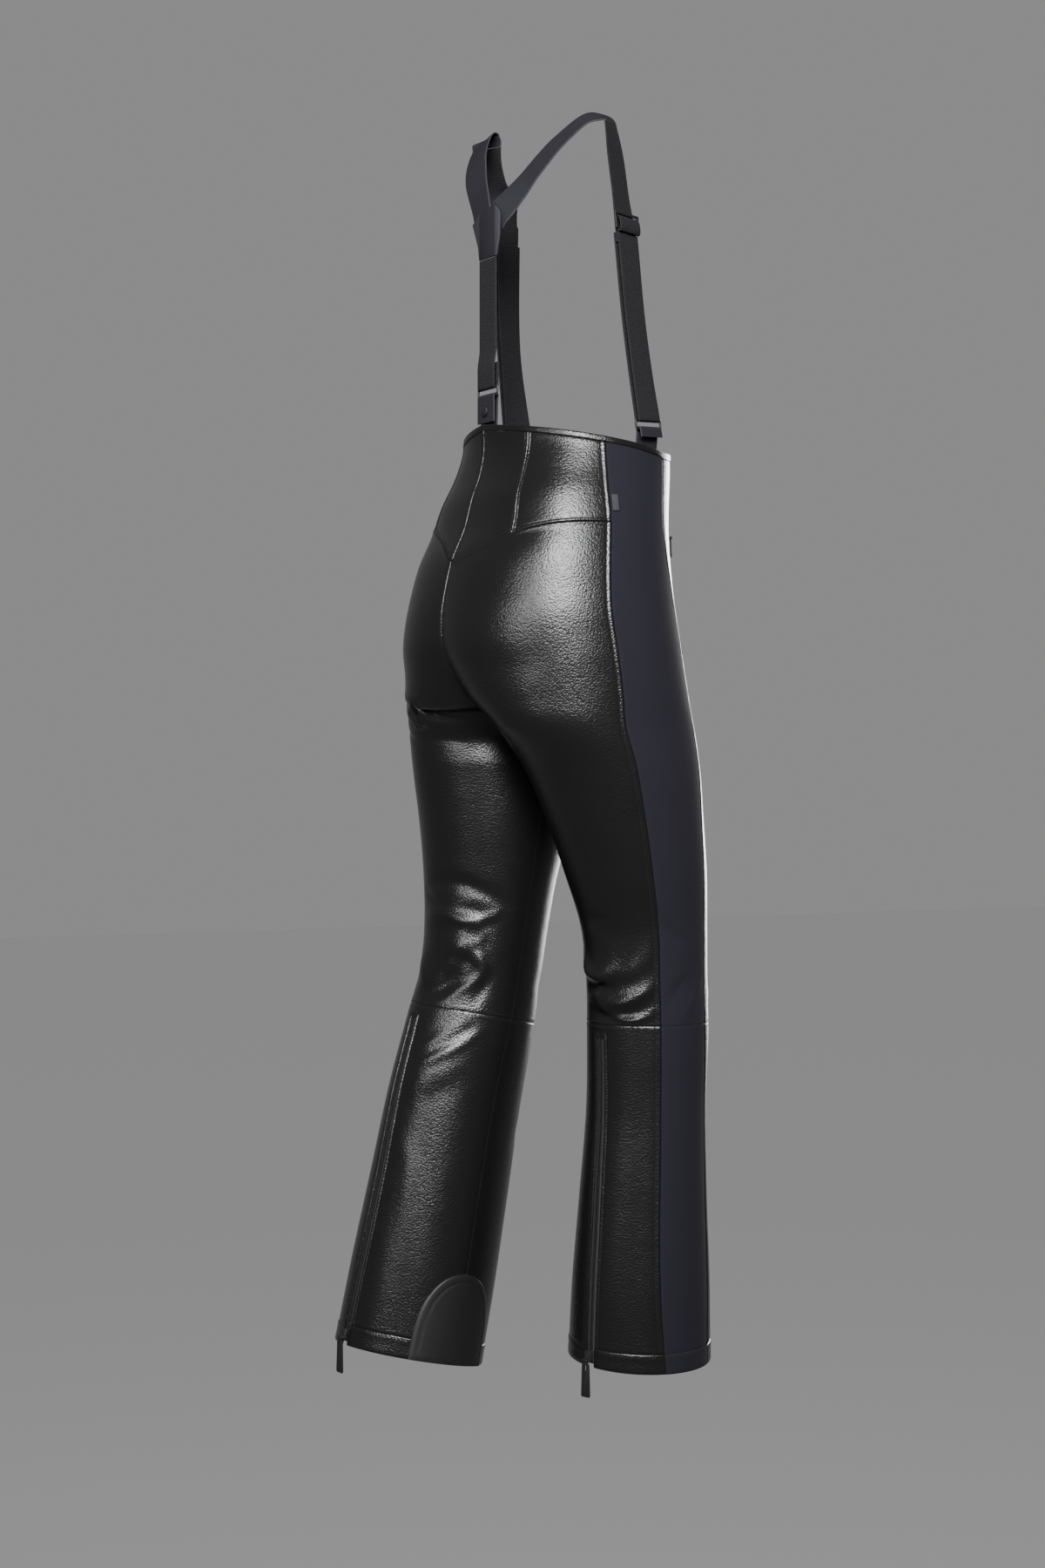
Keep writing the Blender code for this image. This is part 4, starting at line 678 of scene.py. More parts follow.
def grid_between(side, seams, low, high, edge=EDGE):
    """Heights and angles of a piece's grid, with the distances from its seams and levels."""
    first_angle, last_angle = (float(seam(np.array(KNEE_SEAM))) for seam in (seams[0], seams[-1]))
    way = 1.0 if last_angle > first_angle else -1.0
    middle = 0.5 * (first_angle + last_angle)
    length, widths = measure(side, low, high, seams, middle)
    row_share, row_low, row_high = (v[:, None] for v in places_between(length, edge))
    columns, first = [], [0]
    for width in widths:
        skip = 1 if columns else 0
        columns.append([v[None, skip:] for v in places_between(width)])
        first.append(first[-1] + columns[-1][0].shape[1] - (1 - skip))
    height = np.full((len(row_share), first[-1] + 1), 0.5 * float(
        level_height(low, side, np.array(middle)) + level_height(high, side, np.array(middle))))
    for _ in range(FITTING_ROUNDS):
        parts = []
        at = 0
        for n, (share, start_off, end_off) in enumerate(columns):
            h = height[:, at:at + share.shape[1]]
            start, end = seams[n](h), seams[n + 1](h)
            per_start = outward(side, h, start)[1]
            per_end = outward(side, h, end)[1]
            gap = 0.5 * SEAM_GAP if n in (0, len(columns) - 1) else 0.0
            parts.append((start + way * (start_off + gap) / per_start) * (1.0 - share)
                         + (end - way * (end_off + gap) / per_end) * share)
            at += share.shape[1]
        angle = np.concatenate(parts, axis=1)
        bottom = level_height(low, side, angle) + 0.5 * SEAM_GAP
        top = level_height(high, side, angle) - 0.5 * SEAM_GAP
        height = (bottom + row_low) * (1.0 - row_share) + (top - row_high) * row_share
    per_radian = outward(side, height, angle)[1]
    from_seams = [np.abs(angle - seam(height)) * per_radian for seam in seams]
    return height, angle, from_seams, height - bottom, top - height, first


# %% Closed meshes with lengths
def placed(name, mesh):
    """A new piece with that mesh, at the origin."""
    piece = bpy.data.objects.new(name, mesh)
    bpy.context.scene.collection.objects.link(piece)
    return piece


def give_lengths(mesh, lengths):
    """Two lengths in metres at each of a mesh's points, as its UVs."""
    loops = np.empty(len(mesh.loops), int)
    mesh.loops.foreach_get("vertex_index", loops)
    layer = mesh.uv_layers.new(name="lengths")
    layer.data.foreach_set("uv", lengths[loops].ravel().astype(np.float32))


def closed_piece(name, points, faces, lengths, sharp_from):
    """A closed piece that faces outwards, smooth up to an angle in degrees."""
    mesh = bpy.data.meshes.new(name)
    mesh.from_pydata(points.tolist(), [], faces)
    work = bmesh.new()
    work.from_mesh(mesh)
    bmesh.ops.recalc_face_normals(work, faces=work.faces)
    work.to_mesh(mesh)
    work.free()
    give_lengths(mesh, lengths)
    mesh.shade_smooth()
    mesh.set_sharp_from_angle(angle=math.radians(sharp_from))
    return placed(name, mesh)


def shell(name, outer, inner, keep=None):
    """A thin closed shell between two grids of points; keep says which cells are cloth."""
    rows, columns = outer.shape[:2]
    index = np.arange(rows * columns).reshape(rows, columns)
    cells = np.stack([index[:-1, :-1], index[:-1, 1:], index[1:, 1:], index[1:, :-1]], -1)
    kept = np.ones(cells.shape[:2], bool) if keep is None else keep
    shift = rows * columns
    quads = cells[kept]
    faces = [quads, quads[:, ::-1] + shift]
    padded = np.pad(kept, 1)
    for (dj, di), (p, q) in {(-1, 0): (0, 1), (1, 0): (2, 3), (0, 1): (1, 2),
                             (0, -1): (3, 0)}.items():
        open_edge = kept & ~padded[1 + dj:rows + dj, 1 + di:columns + di]
        a, b = cells[open_edge][:, p], cells[open_edge][:, q]
        faces.append(np.stack([b, a, a + shift, b + shift], -1))
    used, compact = np.unique(np.concatenate(faces), return_inverse=True)
    points = np.concatenate([outer.reshape(-1, 3), inner.reshape(-1, 3)])[used]
    across = np.linalg.norm(np.diff(outer, axis=1), axis=-1)
    across = np.concatenate([np.zeros((rows, 1)), np.cumsum(across, axis=1)], axis=1)
    across -= across[:, columns // 2][:, None]
    lengths = np.stack([across, outer[..., 2]], -1).reshape(-1, 2)
    lengths = np.concatenate([lengths, lengths])[used]
    return closed_piece(name, points, compact.reshape(-1, 4).tolist(), lengths, 50)


def dress(piece, slot, body, *nodes):
    """Gives a piece the material named by slot and its body, and hides the nodes that it stands
    for.
    """
    piece.data.materials.append(MATERIALS[slot])
    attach(piece, body)
    if nodes:
        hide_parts(*nodes)
    return piece


# %% One cut piece
SEAT_START, SEAT_FADE = 0.004, 0.03    # above the crotch, where the seat's thread begins


def seam_rise(kinds, height, from_seams, from_low, from_high):
    """How far a piece's seams lift its cloth; kinds names its seams, then low and high."""
    rise = profile(kinds[-2], from_low) + profile(kinds[-1], from_high)
    for kind, distance in zip(kinds, from_seams):
        if kind == "seat":
            share = np.clip((height - CROTCH - SEAT_START) / SEAT_FADE, 0.0, 1.0)
            rise = rise + share * profile("twin", distance)
            rise = rise + (1 - share) * profile("plain", distance)
            continue
        if kind == "zip":
            distance = np.maximum(distance, height - ZIP_TOP)
        rise = rise + profile(kind, distance)
    return rise


def paint_stretch(piece, shape, start, end):
    """Makes the columns from start to end of a whole shell stretch cloth, on both faces."""
    high, wide = shape[0] - 1, shape[1] - 1
    column = np.concatenate([np.tile(np.arange(wide), 2 * high), np.tile(np.arange(wide), 2)])
    painted = np.zeros(len(piece.data.polygons), int)
    painted[:len(column)] = (column >= start) & (column < end)
    piece.data.materials.append(MATERIALS["stretch"])
    piece.data.polygons.foreach_set("material_index", painted)


def cloth_piece(node, side, seams, low, high, kinds, slot,
                open_zip=False, edge=EDGE, stretch_between=None):
    """One cut piece of the garment between its seams and its two levels."""
    height, angle, from_seams, from_low, from_high, first = grid_between(
        side, seams, low, high, edge)
    outer = face(side, height, angle, seam_rise(kinds, height, from_seams, from_low, from_high))
    inner = face(side, height, angle) - outward(side, height, angle)[0] * CLOTH
    keep = None
    if open_zip:
        middle = 0.5 * (height[1:, 1:] + height[:-1, :-1])
        column = np.arange(height.shape[1] - 1)[None, :]
        keep = ~((column >= first[1]) & (column < first[2]) & (middle < ZIP_TOP))
    piece = dress(shell(f"cloth_{node}", outer, inner, keep), slot, "garment", node)
    if stretch_between:
        paint_stretch(piece, height.shape, *(first[n] for n in stretch_between))
    return piece


# %% Binding the waist and cutting the panels
for side in (RIGHT, LEFT):
    word = WORD[side]
    binding = cloth_piece(f"waist_binding_{word}", side,
                          [centre_back(side), back_side(side), side_front(side),
                           centre_front(side)],
                          "top_seam", "top", ("plain", "none", "none", "none", "bound", "bound"),
                          "leather", edge=NARROW)
    cloth_piece(f"yoke_side_{word}", side, [back_side(side), princess(side)],
                "yoke", "top_seam", ("roll", "twin", "above", "plain"), "leather")
    cloth_piece(f"yoke_centre_{word}", side, [princess(side), centre_back(side)],
                "yoke", "top_seam", ("twin", "twin", "above", "plain"), "leather")
    cloth_piece(f"back_upper_{word}", side, [back_side(side), centre_back(side)],
                "knee", "yoke", ("roll", "seat", "plain", "below"), "leather")
    cloth_piece(f"side_upper_{word}", side, [back_side(side), side_front(side)],
                "knee", "top_seam", ("under", "under", "plain", "plain"), "stretch")
    cloth_piece(f"front_upper_{word}", side, [side_front(side), centre_front(side)],
                "knee", "top_seam", ("roll", "plain", "plain", "plain"), "leather")
    cloth_piece(f"side_lower_{word}", side, [back_side(side), side_front(side)],
                "hem_seam", "knee", ("under", "under", "plain", "plain"), "stretch")
    cloth_piece(f"front_lower_{word}", side, [side_front(side), inner_leg(side, True)],
                "hem_seam", "knee", ("roll", "plain", "plain", "plain"), "leather")
    cloth_piece(f"back_lower_{word}", side,
                [back_side(side), zip_edge(side, -ZIP_OPEN_HALF), zip_edge(side, ZIP_OPEN_HALF),
                 inner_leg(side)],
                "hem_seam", "knee", ("roll", "zip", "zip", "plain", "plain", "plain"),
                "leather", open_zip=True)

# %% [markdown]
# ## Hems
# The foot of each leg is turned up into a wide hem. It is turned from each panel's own
# cloth, so it is matte under the stretch panel.

# %% Turning the hems
def turned_zip_edge(side):
    """The far edge of the calf zip, as the ring round the ankle counts it."""
    return lambda height: zip_edge(side, ZIP_OPEN_HALF)(height) - TURN


for side in (RIGHT, LEFT):
    word = WORD[side]
    cloth_piece(f"hem_band_{word}", side,
                [zip_edge(side, -ZIP_OPEN_HALF), back_side(side), side_front(side),
                 inner_leg(side, True), turned_zip_edge(side)],
                "hem", "hem_seam", ("none", "plain", "plain", "plain", "none", "turned", "hem_top"),
                "leather", stretch_between=(1, 2))

# %% [markdown]
# ## Bands that lie on the cloth
# Zip tapes and the moulded ankle guards are bands that follow the same form, a set distance
# off it. The guard keeps boots and ski edges from cutting the inner ankle.

# %% Bands on the form
TAPE_THICK = 0.0007
TAPE_ROWS = 0.006          # between the rows of a tape


def band(name, side, heights, angles, low_out, high_out, slot, node):
    """A band on the form between two distances out, from grids of heights and angles."""
    heights = np.broadcast_to(heights, angles.shape)
    piece = shell(name, face(side, heights, angles, high_out), face(side, heights, angles, low_out))
    return dress(piece, slot, "garment", node)


def zip_tape(name, side, line, bottom, top, half, out, node):
    """The woven tape under a zip's teeth."""
    heights = np.linspace(bottom, top, max(8, round((top - bottom) / TAPE_ROWS)))[:, None]
    middle = line(heights)
    per_radian = outward(side, heights, middle)[1]
    angles = middle + half * np.linspace(-1.0, 1.0, 7)[None, :] / per_radian
    return band(name, side, heights, angles, out - TAPE_THICK, out, "tape", node)


def calf_line(side):
    """The middle of a calf zip."""
    return lambda height: seam_angle(ZIP_LINE[side], height)


def pocket_line(height):
    """The middle of a hip pocket's zip."""
    return seam_angle(POCKET_LINE, height)


# %% The ankle guard
GUARD_HEIGHT, GUARD_HALF = 0.101, 0.052
GUARD_ROWS, GUARD_COLUMNS = 46, 49
ROWS_CROWD, ARCH_FULLNESS = 1.6, 3     # rows crowd to the top, and the arch has full shoulders
ABOVE_HEM, BELOW_TOP = 0.0004, 0.0010
GUARD_OUT, GUARD_UNDER, GUARD_FOOT = 0.0029, 0.0013, 0.0002
RIM_ROUND = 0.0009         # how soon the rounding of the rim ends
GROOVE_IN, GROOVE_DEEP = 0.0090, 0.0006


def ankle_guard(side):
    """A moulded arch: its columns shrink toward the top, and its rim is rounded down."""
    share = 1.0 - (1.0 - np.linspace(0.0, 1.0, GUARD_ROWS)[:, None]) ** ROWS_CROWD
    heights = HEM_EDGE[side] + ABOVE_HEM + (GUARD_HEIGHT - BELOW_TOP) * share
    half = GUARD_HALF * np.sqrt(1.0 - (0.9995 * share) ** ARCH_FULLNESS)
    across = half * np.linspace(-1.0, 1.0, GUARD_COLUMNS)[None, :]
    middle = seam_angle(INSEAM, heights)
    angles = middle + across / outward(side, heights, middle)[1]
    rim = np.stack([np.concatenate([half[:, 0], -half[::-1, 0]]),
                    np.concatenate([heights[:, 0], heights[::-1, 0]])], -1)
    rim = np.concatenate([rim, np.linspace(rim[-1], rim[0], 30)[1:-1]])
    places = np.stack([across, np.broadcast_to(heights, across.shape)], -1)
    inside = np.linalg.norm(places[:, :, None, :] - rim[None, None], axis=-1).min(-1)
    rounded = GUARD_OUT - (GUARD_OUT - GUARD_UNDER) * np.exp(-inside / RIM_ROUND)
    groove = -GROOVE_DEEP * np.exp(-(((inside - GROOVE_IN) / RIM_ROUND) ** 2))
    under = np.where(inside < GUARD_FOOT, GUARD_FOOT, GUARD_UNDER)
    return band(f"ankle_guard_{WORD[side]}", side, heights, angles, under, rounded + groove,
                "rubber", f"scuff_guard_{WORD[side]}")


# %% Laying the tapes and guards
CALF_TAPE_HALF, CALF_TAPE_OUT = 0.0075, -0.0014
ZIP_ABOVE_HEM = 0.004
POCKET_TOP, POCKET_BOTTOM = -0.068, -0.195
POCKET_TAPE_HALF, POCKET_TAPE_OUT = 0.0042, 0.0011

for side in (RIGHT, LEFT):
    word = WORD[side]
    bottom = HEM_EDGE[side] + ZIP_ABOVE_HEM
    calf_tape = zip_tape(f"zip_tape_calf_{word}", side, calf_line(side), bottom, ZIP_TOP,
                         CALF_TAPE_HALF, CALF_TAPE_OUT, f"calf_zip_tape_{word}")
    zip_tape(f"zip_tape_pocket_{word}", side, pocket_line, POCKET_BOTTOM, POCKET_TOP,
             POCKET_TAPE_HALF, POCKET_TAPE_OUT, f"pocket_zip_{word}")
    ankle_guard(side)
    print(f"calf zip {word}:", round(ZIP_TOP - bottom, 3), "m long")

# %% [markdown]
# ## Thread and teeth
# Topstitching holds each seam flat, and it is what the eye reads as sewn. One small shape is
# set along every stitching line by Geometry Nodes, turned along the line and out of the
# cloth. The zip teeth use the same tree with their own size.

# %% Setting a small shape along lines
STITCH_PITCH = 0.0032
TOOTH_PITCH = 0.0016


def shape_tree():
    """Sets a rounded shape on each point, turned by the point's run and out directions."""
    tree = bpy.data.node_groups.new("small shapes on points", "GeometryNodeTree")
    tree.is_modifier = True
    for name, kind in (("Geometry", "NodeSocketGeometry"), ("shape size", "NodeSocketVector"),
                       ("length change", "NodeSocketFloat"), ("finish", "NodeSocketMaterial")):
        tree.interface.new_socket(name=name, in_out="INPUT", socket_type=kind)
    tree.interface.new_socket(name="Geometry", in_out="OUTPUT", socket_type="NodeSocketGeometry")
    add, link = tree.nodes.new, tree.links.new
    given, result = add("NodeGroupInput"), add("NodeGroupOutput")
    run, out = add("GeometryNodeInputNamedAttribute"), add("GeometryNodeInputNamedAttribute")
    for node, attribute in ((run, "run"), (out, "out")):
        node.data_type = "FLOAT_VECTOR"
        node.inputs["Name"].default_value = attribute
    turn = add("FunctionNodeAxesToRotation")
    turn.primary_axis, turn.secondary_axis = "Z", "X"
    link(out.outputs["Attribute"], turn.inputs[0])
    link(run.outputs["Attribute"], turn.inputs[1])
    ball = add("GeometryNodeMeshUVSphere")
    ball.inputs["Segments"].default_value = 6
    ball.inputs["Rings"].default_value = 4
    ball.inputs["Radius"].default_value = 0.5
    sized = add("GeometryNodeTransform")
    link(ball.outputs["Mesh"], sized.inputs["Geometry"])
    link(given.outputs["shape size"], sized.inputs["Scale"])
    change = add("FunctionNodeRandomValue")
    change.data_type = "FLOAT"
    change.inputs["Seed"].default_value = 7
    least = add("ShaderNodeMath")
    least.operation = "SUBTRACT"
    least.inputs[0].default_value = 1.0
    link(given.outputs["length change"], least.inputs[1])
    link(least.outputs[0], change.inputs[2])
    change.inputs[3].default_value = 1.0
    place = add("GeometryNodeInstanceOnPoints")
    link(given.outputs["Geometry"], place.inputs["Points"])
    link(sized.outputs["Geometry"], place.inputs["Instance"])
    link(turn.outputs["Rotation"], place.inputs["Rotation"])
    link(change.outputs[1], place.inputs["Scale"])
    real = add("GeometryNodeRealizeInstances")
    link(place.outputs["Instances"], real.inputs["Geometry"])
    smooth = add("GeometryNodeSetShadeSmooth")
    link(real.outputs["Geometry"], smooth.inputs["Geometry"])
    painted = add("GeometryNodeSetMaterial")
    link(smooth.outputs["Geometry"], painted.inputs["Geometry"])
    link(given.outputs["finish"], painted.inputs["Material"])
    link(painted.outputs["Geometry"], result.inputs["Geometry"])
    return tree


SMALL_SHAPES = shape_tree()


def set_shapes(name, spots, size, change, finish):
    """One piece with the small shape on every spot; spots holds places, runs and outs."""
    places, runs, outs = (np.concatenate(part) for part in zip(*spots))
    mesh = bpy.data.meshes.new(f"{name} points")
    mesh.from_pydata(places.tolist(), [], [])
    for attribute, values in (("run", runs), ("out", outs)):
        layer = mesh.attributes.new(attribute, "FLOAT_VECTOR", "POINT")
        layer.data.foreach_set("vector", values.ravel().astype(np.float32))
    points = placed(f"{name} points", mesh)
    setter = points.modifiers.new("shapes", "NODES")
    setter.node_group = SMALL_SHAPES
    given = {"shape size": size, "length change": change, "finish": MATERIALS[finish]}
    for item in SMALL_SHAPES.interface.items_tree:
        if item.name in given:
            setter[item.identifier] = given[item.name]
    bpy.context.view_layer.update()
    made = bpy.data.meshes.new_from_object(
        points.evaluated_get(bpy.context.evaluated_depsgraph_get()))
    made.name = name
    bpy.data.objects.remove(points, do_unlink=True)
    piece = placed(name, made)
    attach(piece, "garment")
    print(name, len(places), "shapes,", len(made.polygons), "faces")
    return piece


# %% Lines for the shapes
AHEAD = 0.001              # how far along a line its direction is read
LINE_STEP = 0.002          # between the points of a line that runs down
ROUND_POINTS = 160         # on a line that runs round


def spaced(points, outs, pitch, start=0.5):
    """Spots at an even pitch along a line of points with their outward directions."""
    steps = np.linalg.norm(np.diff(points, axis=0), axis=1)
    along_it = np.concatenate([[0.0], np.cumsum(steps)])
    at = (np.arange(int(along_it[-1] / pitch)) + start) * pitch
    at = at[at < along_it[-1]]

    def read(values, where):
        return np.stack([np.interp(where, along_it, values[:, k]) for k in range(3)], -1)

    return read(points, at), read(points, at + AHEAD) - read(points, at - AHEAD), read(outs, at)


def line_on(side, heights, angles, out):
    """Points and outward directions of a line on the cloth."""
    heights, angles = np.broadcast_arrays(heights, angles)
    return face(side, heights, angles, out), outward(side, heights, angles)[0]


def down_seam(side, seam, offset, low, high, out):
    """A line beside a seam that runs down the garment, from one height to another."""
    heights = np.linspace(low, high, max(4, int((high - low) / LINE_STEP)))
    angles = seam(heights)
    angles = angles + offset / outward(side, heights, angles)[1]
    return line_on(side, heights, angles, out)


def round_seam(side, name, offset, start, end, out):
    """A line beside a seam that runs round the garment, from one seam to another."""
    share = np.linspace(0.0, 1.0, ROUND_POINTS)
    middle = float(level_height(name, side, np.array(0.5)))
    angles = float(start(np.array(middle))) * (1 - share) + float(end(np.array(middle))) * share
    for _ in range(4):
        heights = level_height(name, side, angles) + offset
        angles = start(heights) * (1 - share) + end(heights) * share
    return line_on(side, heights, angles, out)


# %% Where the rows of thread run
STITCH, STITCH_CHANGE = (0.0025, 0.0007, 0.0006), 0.15
# each kind of row: how far it runs beside its seam, and how far out of the cloth it stands
ROWS = {"side": (0.0064, -0.0003), "twin": (0.0033, -0.0002), "fly": (0.0060, 0.0002),
        "yoke": (0.0033, -0.0003), "waist": (-0.0012, 0.0001), "knee": (0.0030, 0.0002),
        "stretch knee": (0.0030, 0.0001), "hem": (-0.0022, 0.0006), "zip": (0.0100, -0.0002),
        "pocket": (0.0075, 0.0002), "box": (0.0100, 0.0002)}
SEAT_THREAD, POCKET_THREAD = (-0.262, -0.092), (-0.198, -0.065)
FLY_THREAD_TOP, SIDE_THREAD_TOP = 0.027, 0.028
YOKE_NEAR, TOP_NEAR = -0.07, 0.05      # heights where the yoke's rows are placed from
BOX_TOP = ZIP_TOP + 0.0045


def row_down(side, seam, kind, way, low, high):
    """A row of thread beside a seam that runs down, on one side of it or the other."""
    beside, out = ROWS[kind]
    return down_seam(side, seam, way * beside, low, high, out)


def row_round(side, name, kind, start, end, way=1):
    """A row of thread beside a seam that runs round, on one side of it or the other."""
    beside, out = ROWS[kind]
    return round_seam(side, name, way * beside, start, end, out)


def seat_rows(side):
    """The thread of yoke, seat, fly and pocket."""
    centre, rows = centre_back(side), []
    for seam, way in ((princess(side), 1), (princess(side), -1), (centre, -1)):
        low = float(level(YOKE_SEAM[side], seam(np.array(YOKE_NEAR)))) + 0.002
        high = float(level(TOP_EDGE, seam(np.array(TOP_NEAR)))) - BINDING_HEIGHT
        rows.append(row_down(side, seam, "twin", way, low, high))
    rows += [row_down(side, centre, "twin", -1, *SEAT_THREAD),
             row_down(side, centre_front(side), "fly", 1, FLY_BOTTOM, FLY_THREAD_TOP),
             row_round(side, "yoke", "yoke", back_side(side), centre),
             row_round(side, "top_seam", "waist", centre, centre_front(side))]
    return rows + [row_down(side, pocket_line, "pocket", way, *POCKET_THREAD) for way in (-1, 1)]


def leg_rows(side):
    """The thread down both side seams, round knee and hem, and round the calf zip."""
    back, front, inseam = back_side(side), side_front(side), inner_leg(side, True)
    hem = HEM_SEAM[side] + 0.001
    rows = [row_down(side, seam, "side", way, low, high) for seam, way in ((back, 1), (front, -1))
            for low, high in ((hem, KNEE_SEAM), (KNEE_SEAM, SIDE_THREAD_TOP))]
    for way in (1, -1):
        rows += [row_round(side, "knee", "knee", back, centre_back(side), way),
                 row_round(side, "knee", "stretch knee", front, back, way),
                 row_round(side, "knee", "knee", front, inseam, way)]
    beside, box_out = ROWS["box"]
    rows += [row_round(side, "hem_seam", "hem", start, end) for start, end in
             ((inseam, back), (back, zip_edge(side, -beside)),
              (zip_edge(side, beside), inner_leg(side)))]
    rows += [row_down(side, calf_line(side), "zip", way, hem, BOX_TOP) for way in (-1, 1)]
    across = np.linspace(-beside, beside, 12)
    middle = seam_angle(ZIP_LINE[side], ZIP_TOP)
    tops = np.full(len(across), BOX_TOP)
    per_radian = outward(side, tops, np.full(len(across), middle))[1]
    return rows + [line_on(side, tops, middle + across / per_radian, box_out)]


# %% Sewing the seams
for side in (RIGHT, LEFT):
    for name, lines in (("seat", seat_rows(side)), ("leg", leg_rows(side))):
        set_shapes(f"thread_{name}_{WORD[side]}", [spaced(*line, STITCH_PITCH) for line in lines],
                   STITCH, STITCH_CHANGE, "thread")

# %% Zip teeth
# each zip: from its middle to a column of teeth, how far out they stand, and a tooth's size
TEETH = {"calf": (0.0014, -0.0002, (0.0034, 0.0012, 0.0018)),
         "pocket": (0.0012, 0.0020, (0.0028, 0.0012, 0.0014)),
         "fly": (0.0014, -0.0002, (0.0032, 0.0012, 0.0016))}


def set_teeth(name, kind, lines):
    """The teeth of one zip across its two lines, half a pitch apart so that they mesh."""
    spots = []
    for line, start in zip(lines, (1.0, 0.5)):
        places, runs, normals = spaced(*line, TOOTH_PITCH, start)
        spots.append((places, np.cross(normals, runs), normals))
    return set_shapes(name, spots, TEETH[kind][2], 0.0, "hardware")


def columns_down(side, kind, line, low, high):
    """The lines of a zip's two columns of teeth."""
    half, out, _ = TEETH[kind]
    return [down_seam(side, line, way * half, low, high, out) for way in (-1, 1)]


for side in (RIGHT, LEFT):
    word = WORD[side]
    chain = set_teeth(f"zip_teeth_calf_{word}", "calf", columns_down(
        side, "calf", calf_line(side), HEM_EDGE[side] + ZIP_ABOVE_HEM, ZIP_TOP))
    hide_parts(f"calf_zip_chain_{word}")
    set_teeth(f"zip_teeth_pocket_{word}", "pocket", columns_down(
        side, "pocket", pocket_line, POCKET_BOTTOM, POCKET_TOP))

# %% The fly zip
FLY_TOP = 0.0355
FLY_TAPE_OUT, FLY_TAPE_HALF = -0.0014, 0.0060

heights = np.linspace(FLY_BOTTOM, FLY_TOP, 60)
reach = np.linspace(0.0, FLY_TAPE_HALF, 5)[:, None]
grid = np.broadcast_to(heights, (len(reach), len(heights)))
halves = {side: centre_angle(side, grid, reach, front=True) for side in (RIGHT, LEFT)}
outer, inner = (
    np.concatenate([face(RIGHT, grid, halves[RIGHT], off)[::-1],
                    face(LEFT, grid, halves[LEFT], off)[1:]]).transpose(1, 0, 2)
    for off in (FLY_TAPE_OUT, FLY_TAPE_OUT - TAPE_THICK))
fly_tape = dress(shell("zip_tape_fly", outer, inner), "tape", "garment", "fly_zip")
near, off, _ = TEETH["fly"]
set_teeth("zip_teeth_fly", "fly",
          [line_on(side, heights, centre_angle(side, heights, near, front=True), off)
           for side in (RIGHT, LEFT)])

# %% [markdown]
# ## Braces
# The braces carry the waist: webbing over the shoulders, wide ribbed elastic below it, and
# an adjuster on each front strap. Every strap is one band that follows stations, each a
# place and a direction across, so it can twist and turn round a ring as webbing does.

# %% Stations of the braces
# x, y, z of the strap's middle, then the direction across it
SHOULDER = {
    RIGHT: [
        (-0.0150, 0.1033, 0.2950, 0.50, 0.00, 0.87),
        (-0.0225, 0.1015, 0.3030, 0.60, -0.02, 0.78),
        (-0.0270, 0.0920, 0.3160, 0.72, -0.08, 0.66),
        (-0.0320, 0.0757, 0.3370, 0.80, -0.14, 0.56),
        (-0.0450, 0.0620, 0.3590, 0.80, -0.20, 0.55),
        (-0.0560, 0.0485, 0.3780, 0.78, -0.28, 0.54),
        (-0.0740, 0.0260, 0.4020, 0.77, -0.38, 0.51),
        (-0.0830, 0.0120, 0.4060, 0.76, -0.48, 0.43),
        (-0.0880, 0.0008, 0.4030, 0.66, -0.72, 0.22),
        (-0.0902, -0.0020, 0.3910, 0.60, -0.79, 0.09),
        (-0.0940, -0.0047, 0.3610, 0.50, -0.87, 0.00),
        (-0.0985, -0.0085, 0.3170, 0.48, -0.88, 0.00),
        (-0.1022, -0.0117, 0.2820, 0.39, -0.92, 0.00),
        (-0.1044, -0.0125, 0.2620, 0.38, -0.92, 0.00),
    ],
    LEFT: [
        (0.0165, 0.1033, 0.3000, -0.92, 0.00, 0.36),
        (0.0220, 0.1030, 0.3170, -0.89, -0.04, 0.44),
        (0.0300, 0.1020, 0.3340, -0.84, -0.12, 0.52),
        (0.0450, 0.0965, 0.3550, -0.84, -0.23, 0.49),
        (0.0580, 0.0890, 0.3740, -0.84, -0.23, 0.49),
        (0.0720, 0.0770, 0.3930, -0.84, -0.23, 0.49),
        (0.0815, 0.0670, 0.4045, -0.85, -0.25, 0.46),
        (0.0868, 0.0605, 0.4095, -0.90, -0.33, 0.20),
        (0.0890, 0.0550, 0.4070, -0.95, -0.30, 0.03),
        (0.0905, 0.0517, 0.3950, -0.99, -0.13, 0.00),
        (0.0925, 0.0485, 0.3800, -0.99, -0.10, 0.00),
        (0.0945, 0.0430, 0.3570, -0.95, -0.31, 0.00),
        (0.0956, 0.0350, 0.3400, -0.40, -0.92, 0.00),
        (0.0980, 0.0268, 0.3200, 0.30, -0.95, 0.00),
        (0.0998, 0.0246, 0.3040, 0.33, -0.94, 0.00),
        (0.1029, 0.0226, 0.2800, 0.32, -0.95, 0.00),
    ],
}
SEWN = 8.5                 # where the webbing meets the elastic, just past the shoulder
FRONT_LOW = {
    RIGHT: [
        (-0.1032, -0.0121, 0.2730, 0.38, -0.92, 0.00),
        (-0.1130, -0.0155, 0.1840, 0.39, -0.92, 0.00),
        (-0.1200, -0.0205, 0.1200, 0.37, -0.93, 0.00),
        (-0.1255, -0.0260, 0.0690, 0.32, -0.95, 0.00),
    ],
    LEFT: [
        (0.1014, 0.0235, 0.2920, -0.32, 0.95, 0.00),
        (0.1120, 0.0173, 0.2090, -0.36, 0.93, 0.00),
        (0.1190, 0.0092, 0.1500, -0.38, 0.92, 0.00),
        (0.1265, -0.0050, 0.0720, -0.15, 0.99, 0.00),
    ],
}
print("stations over the shoulders:", *(len(table) for table in SHOULDER.values()))

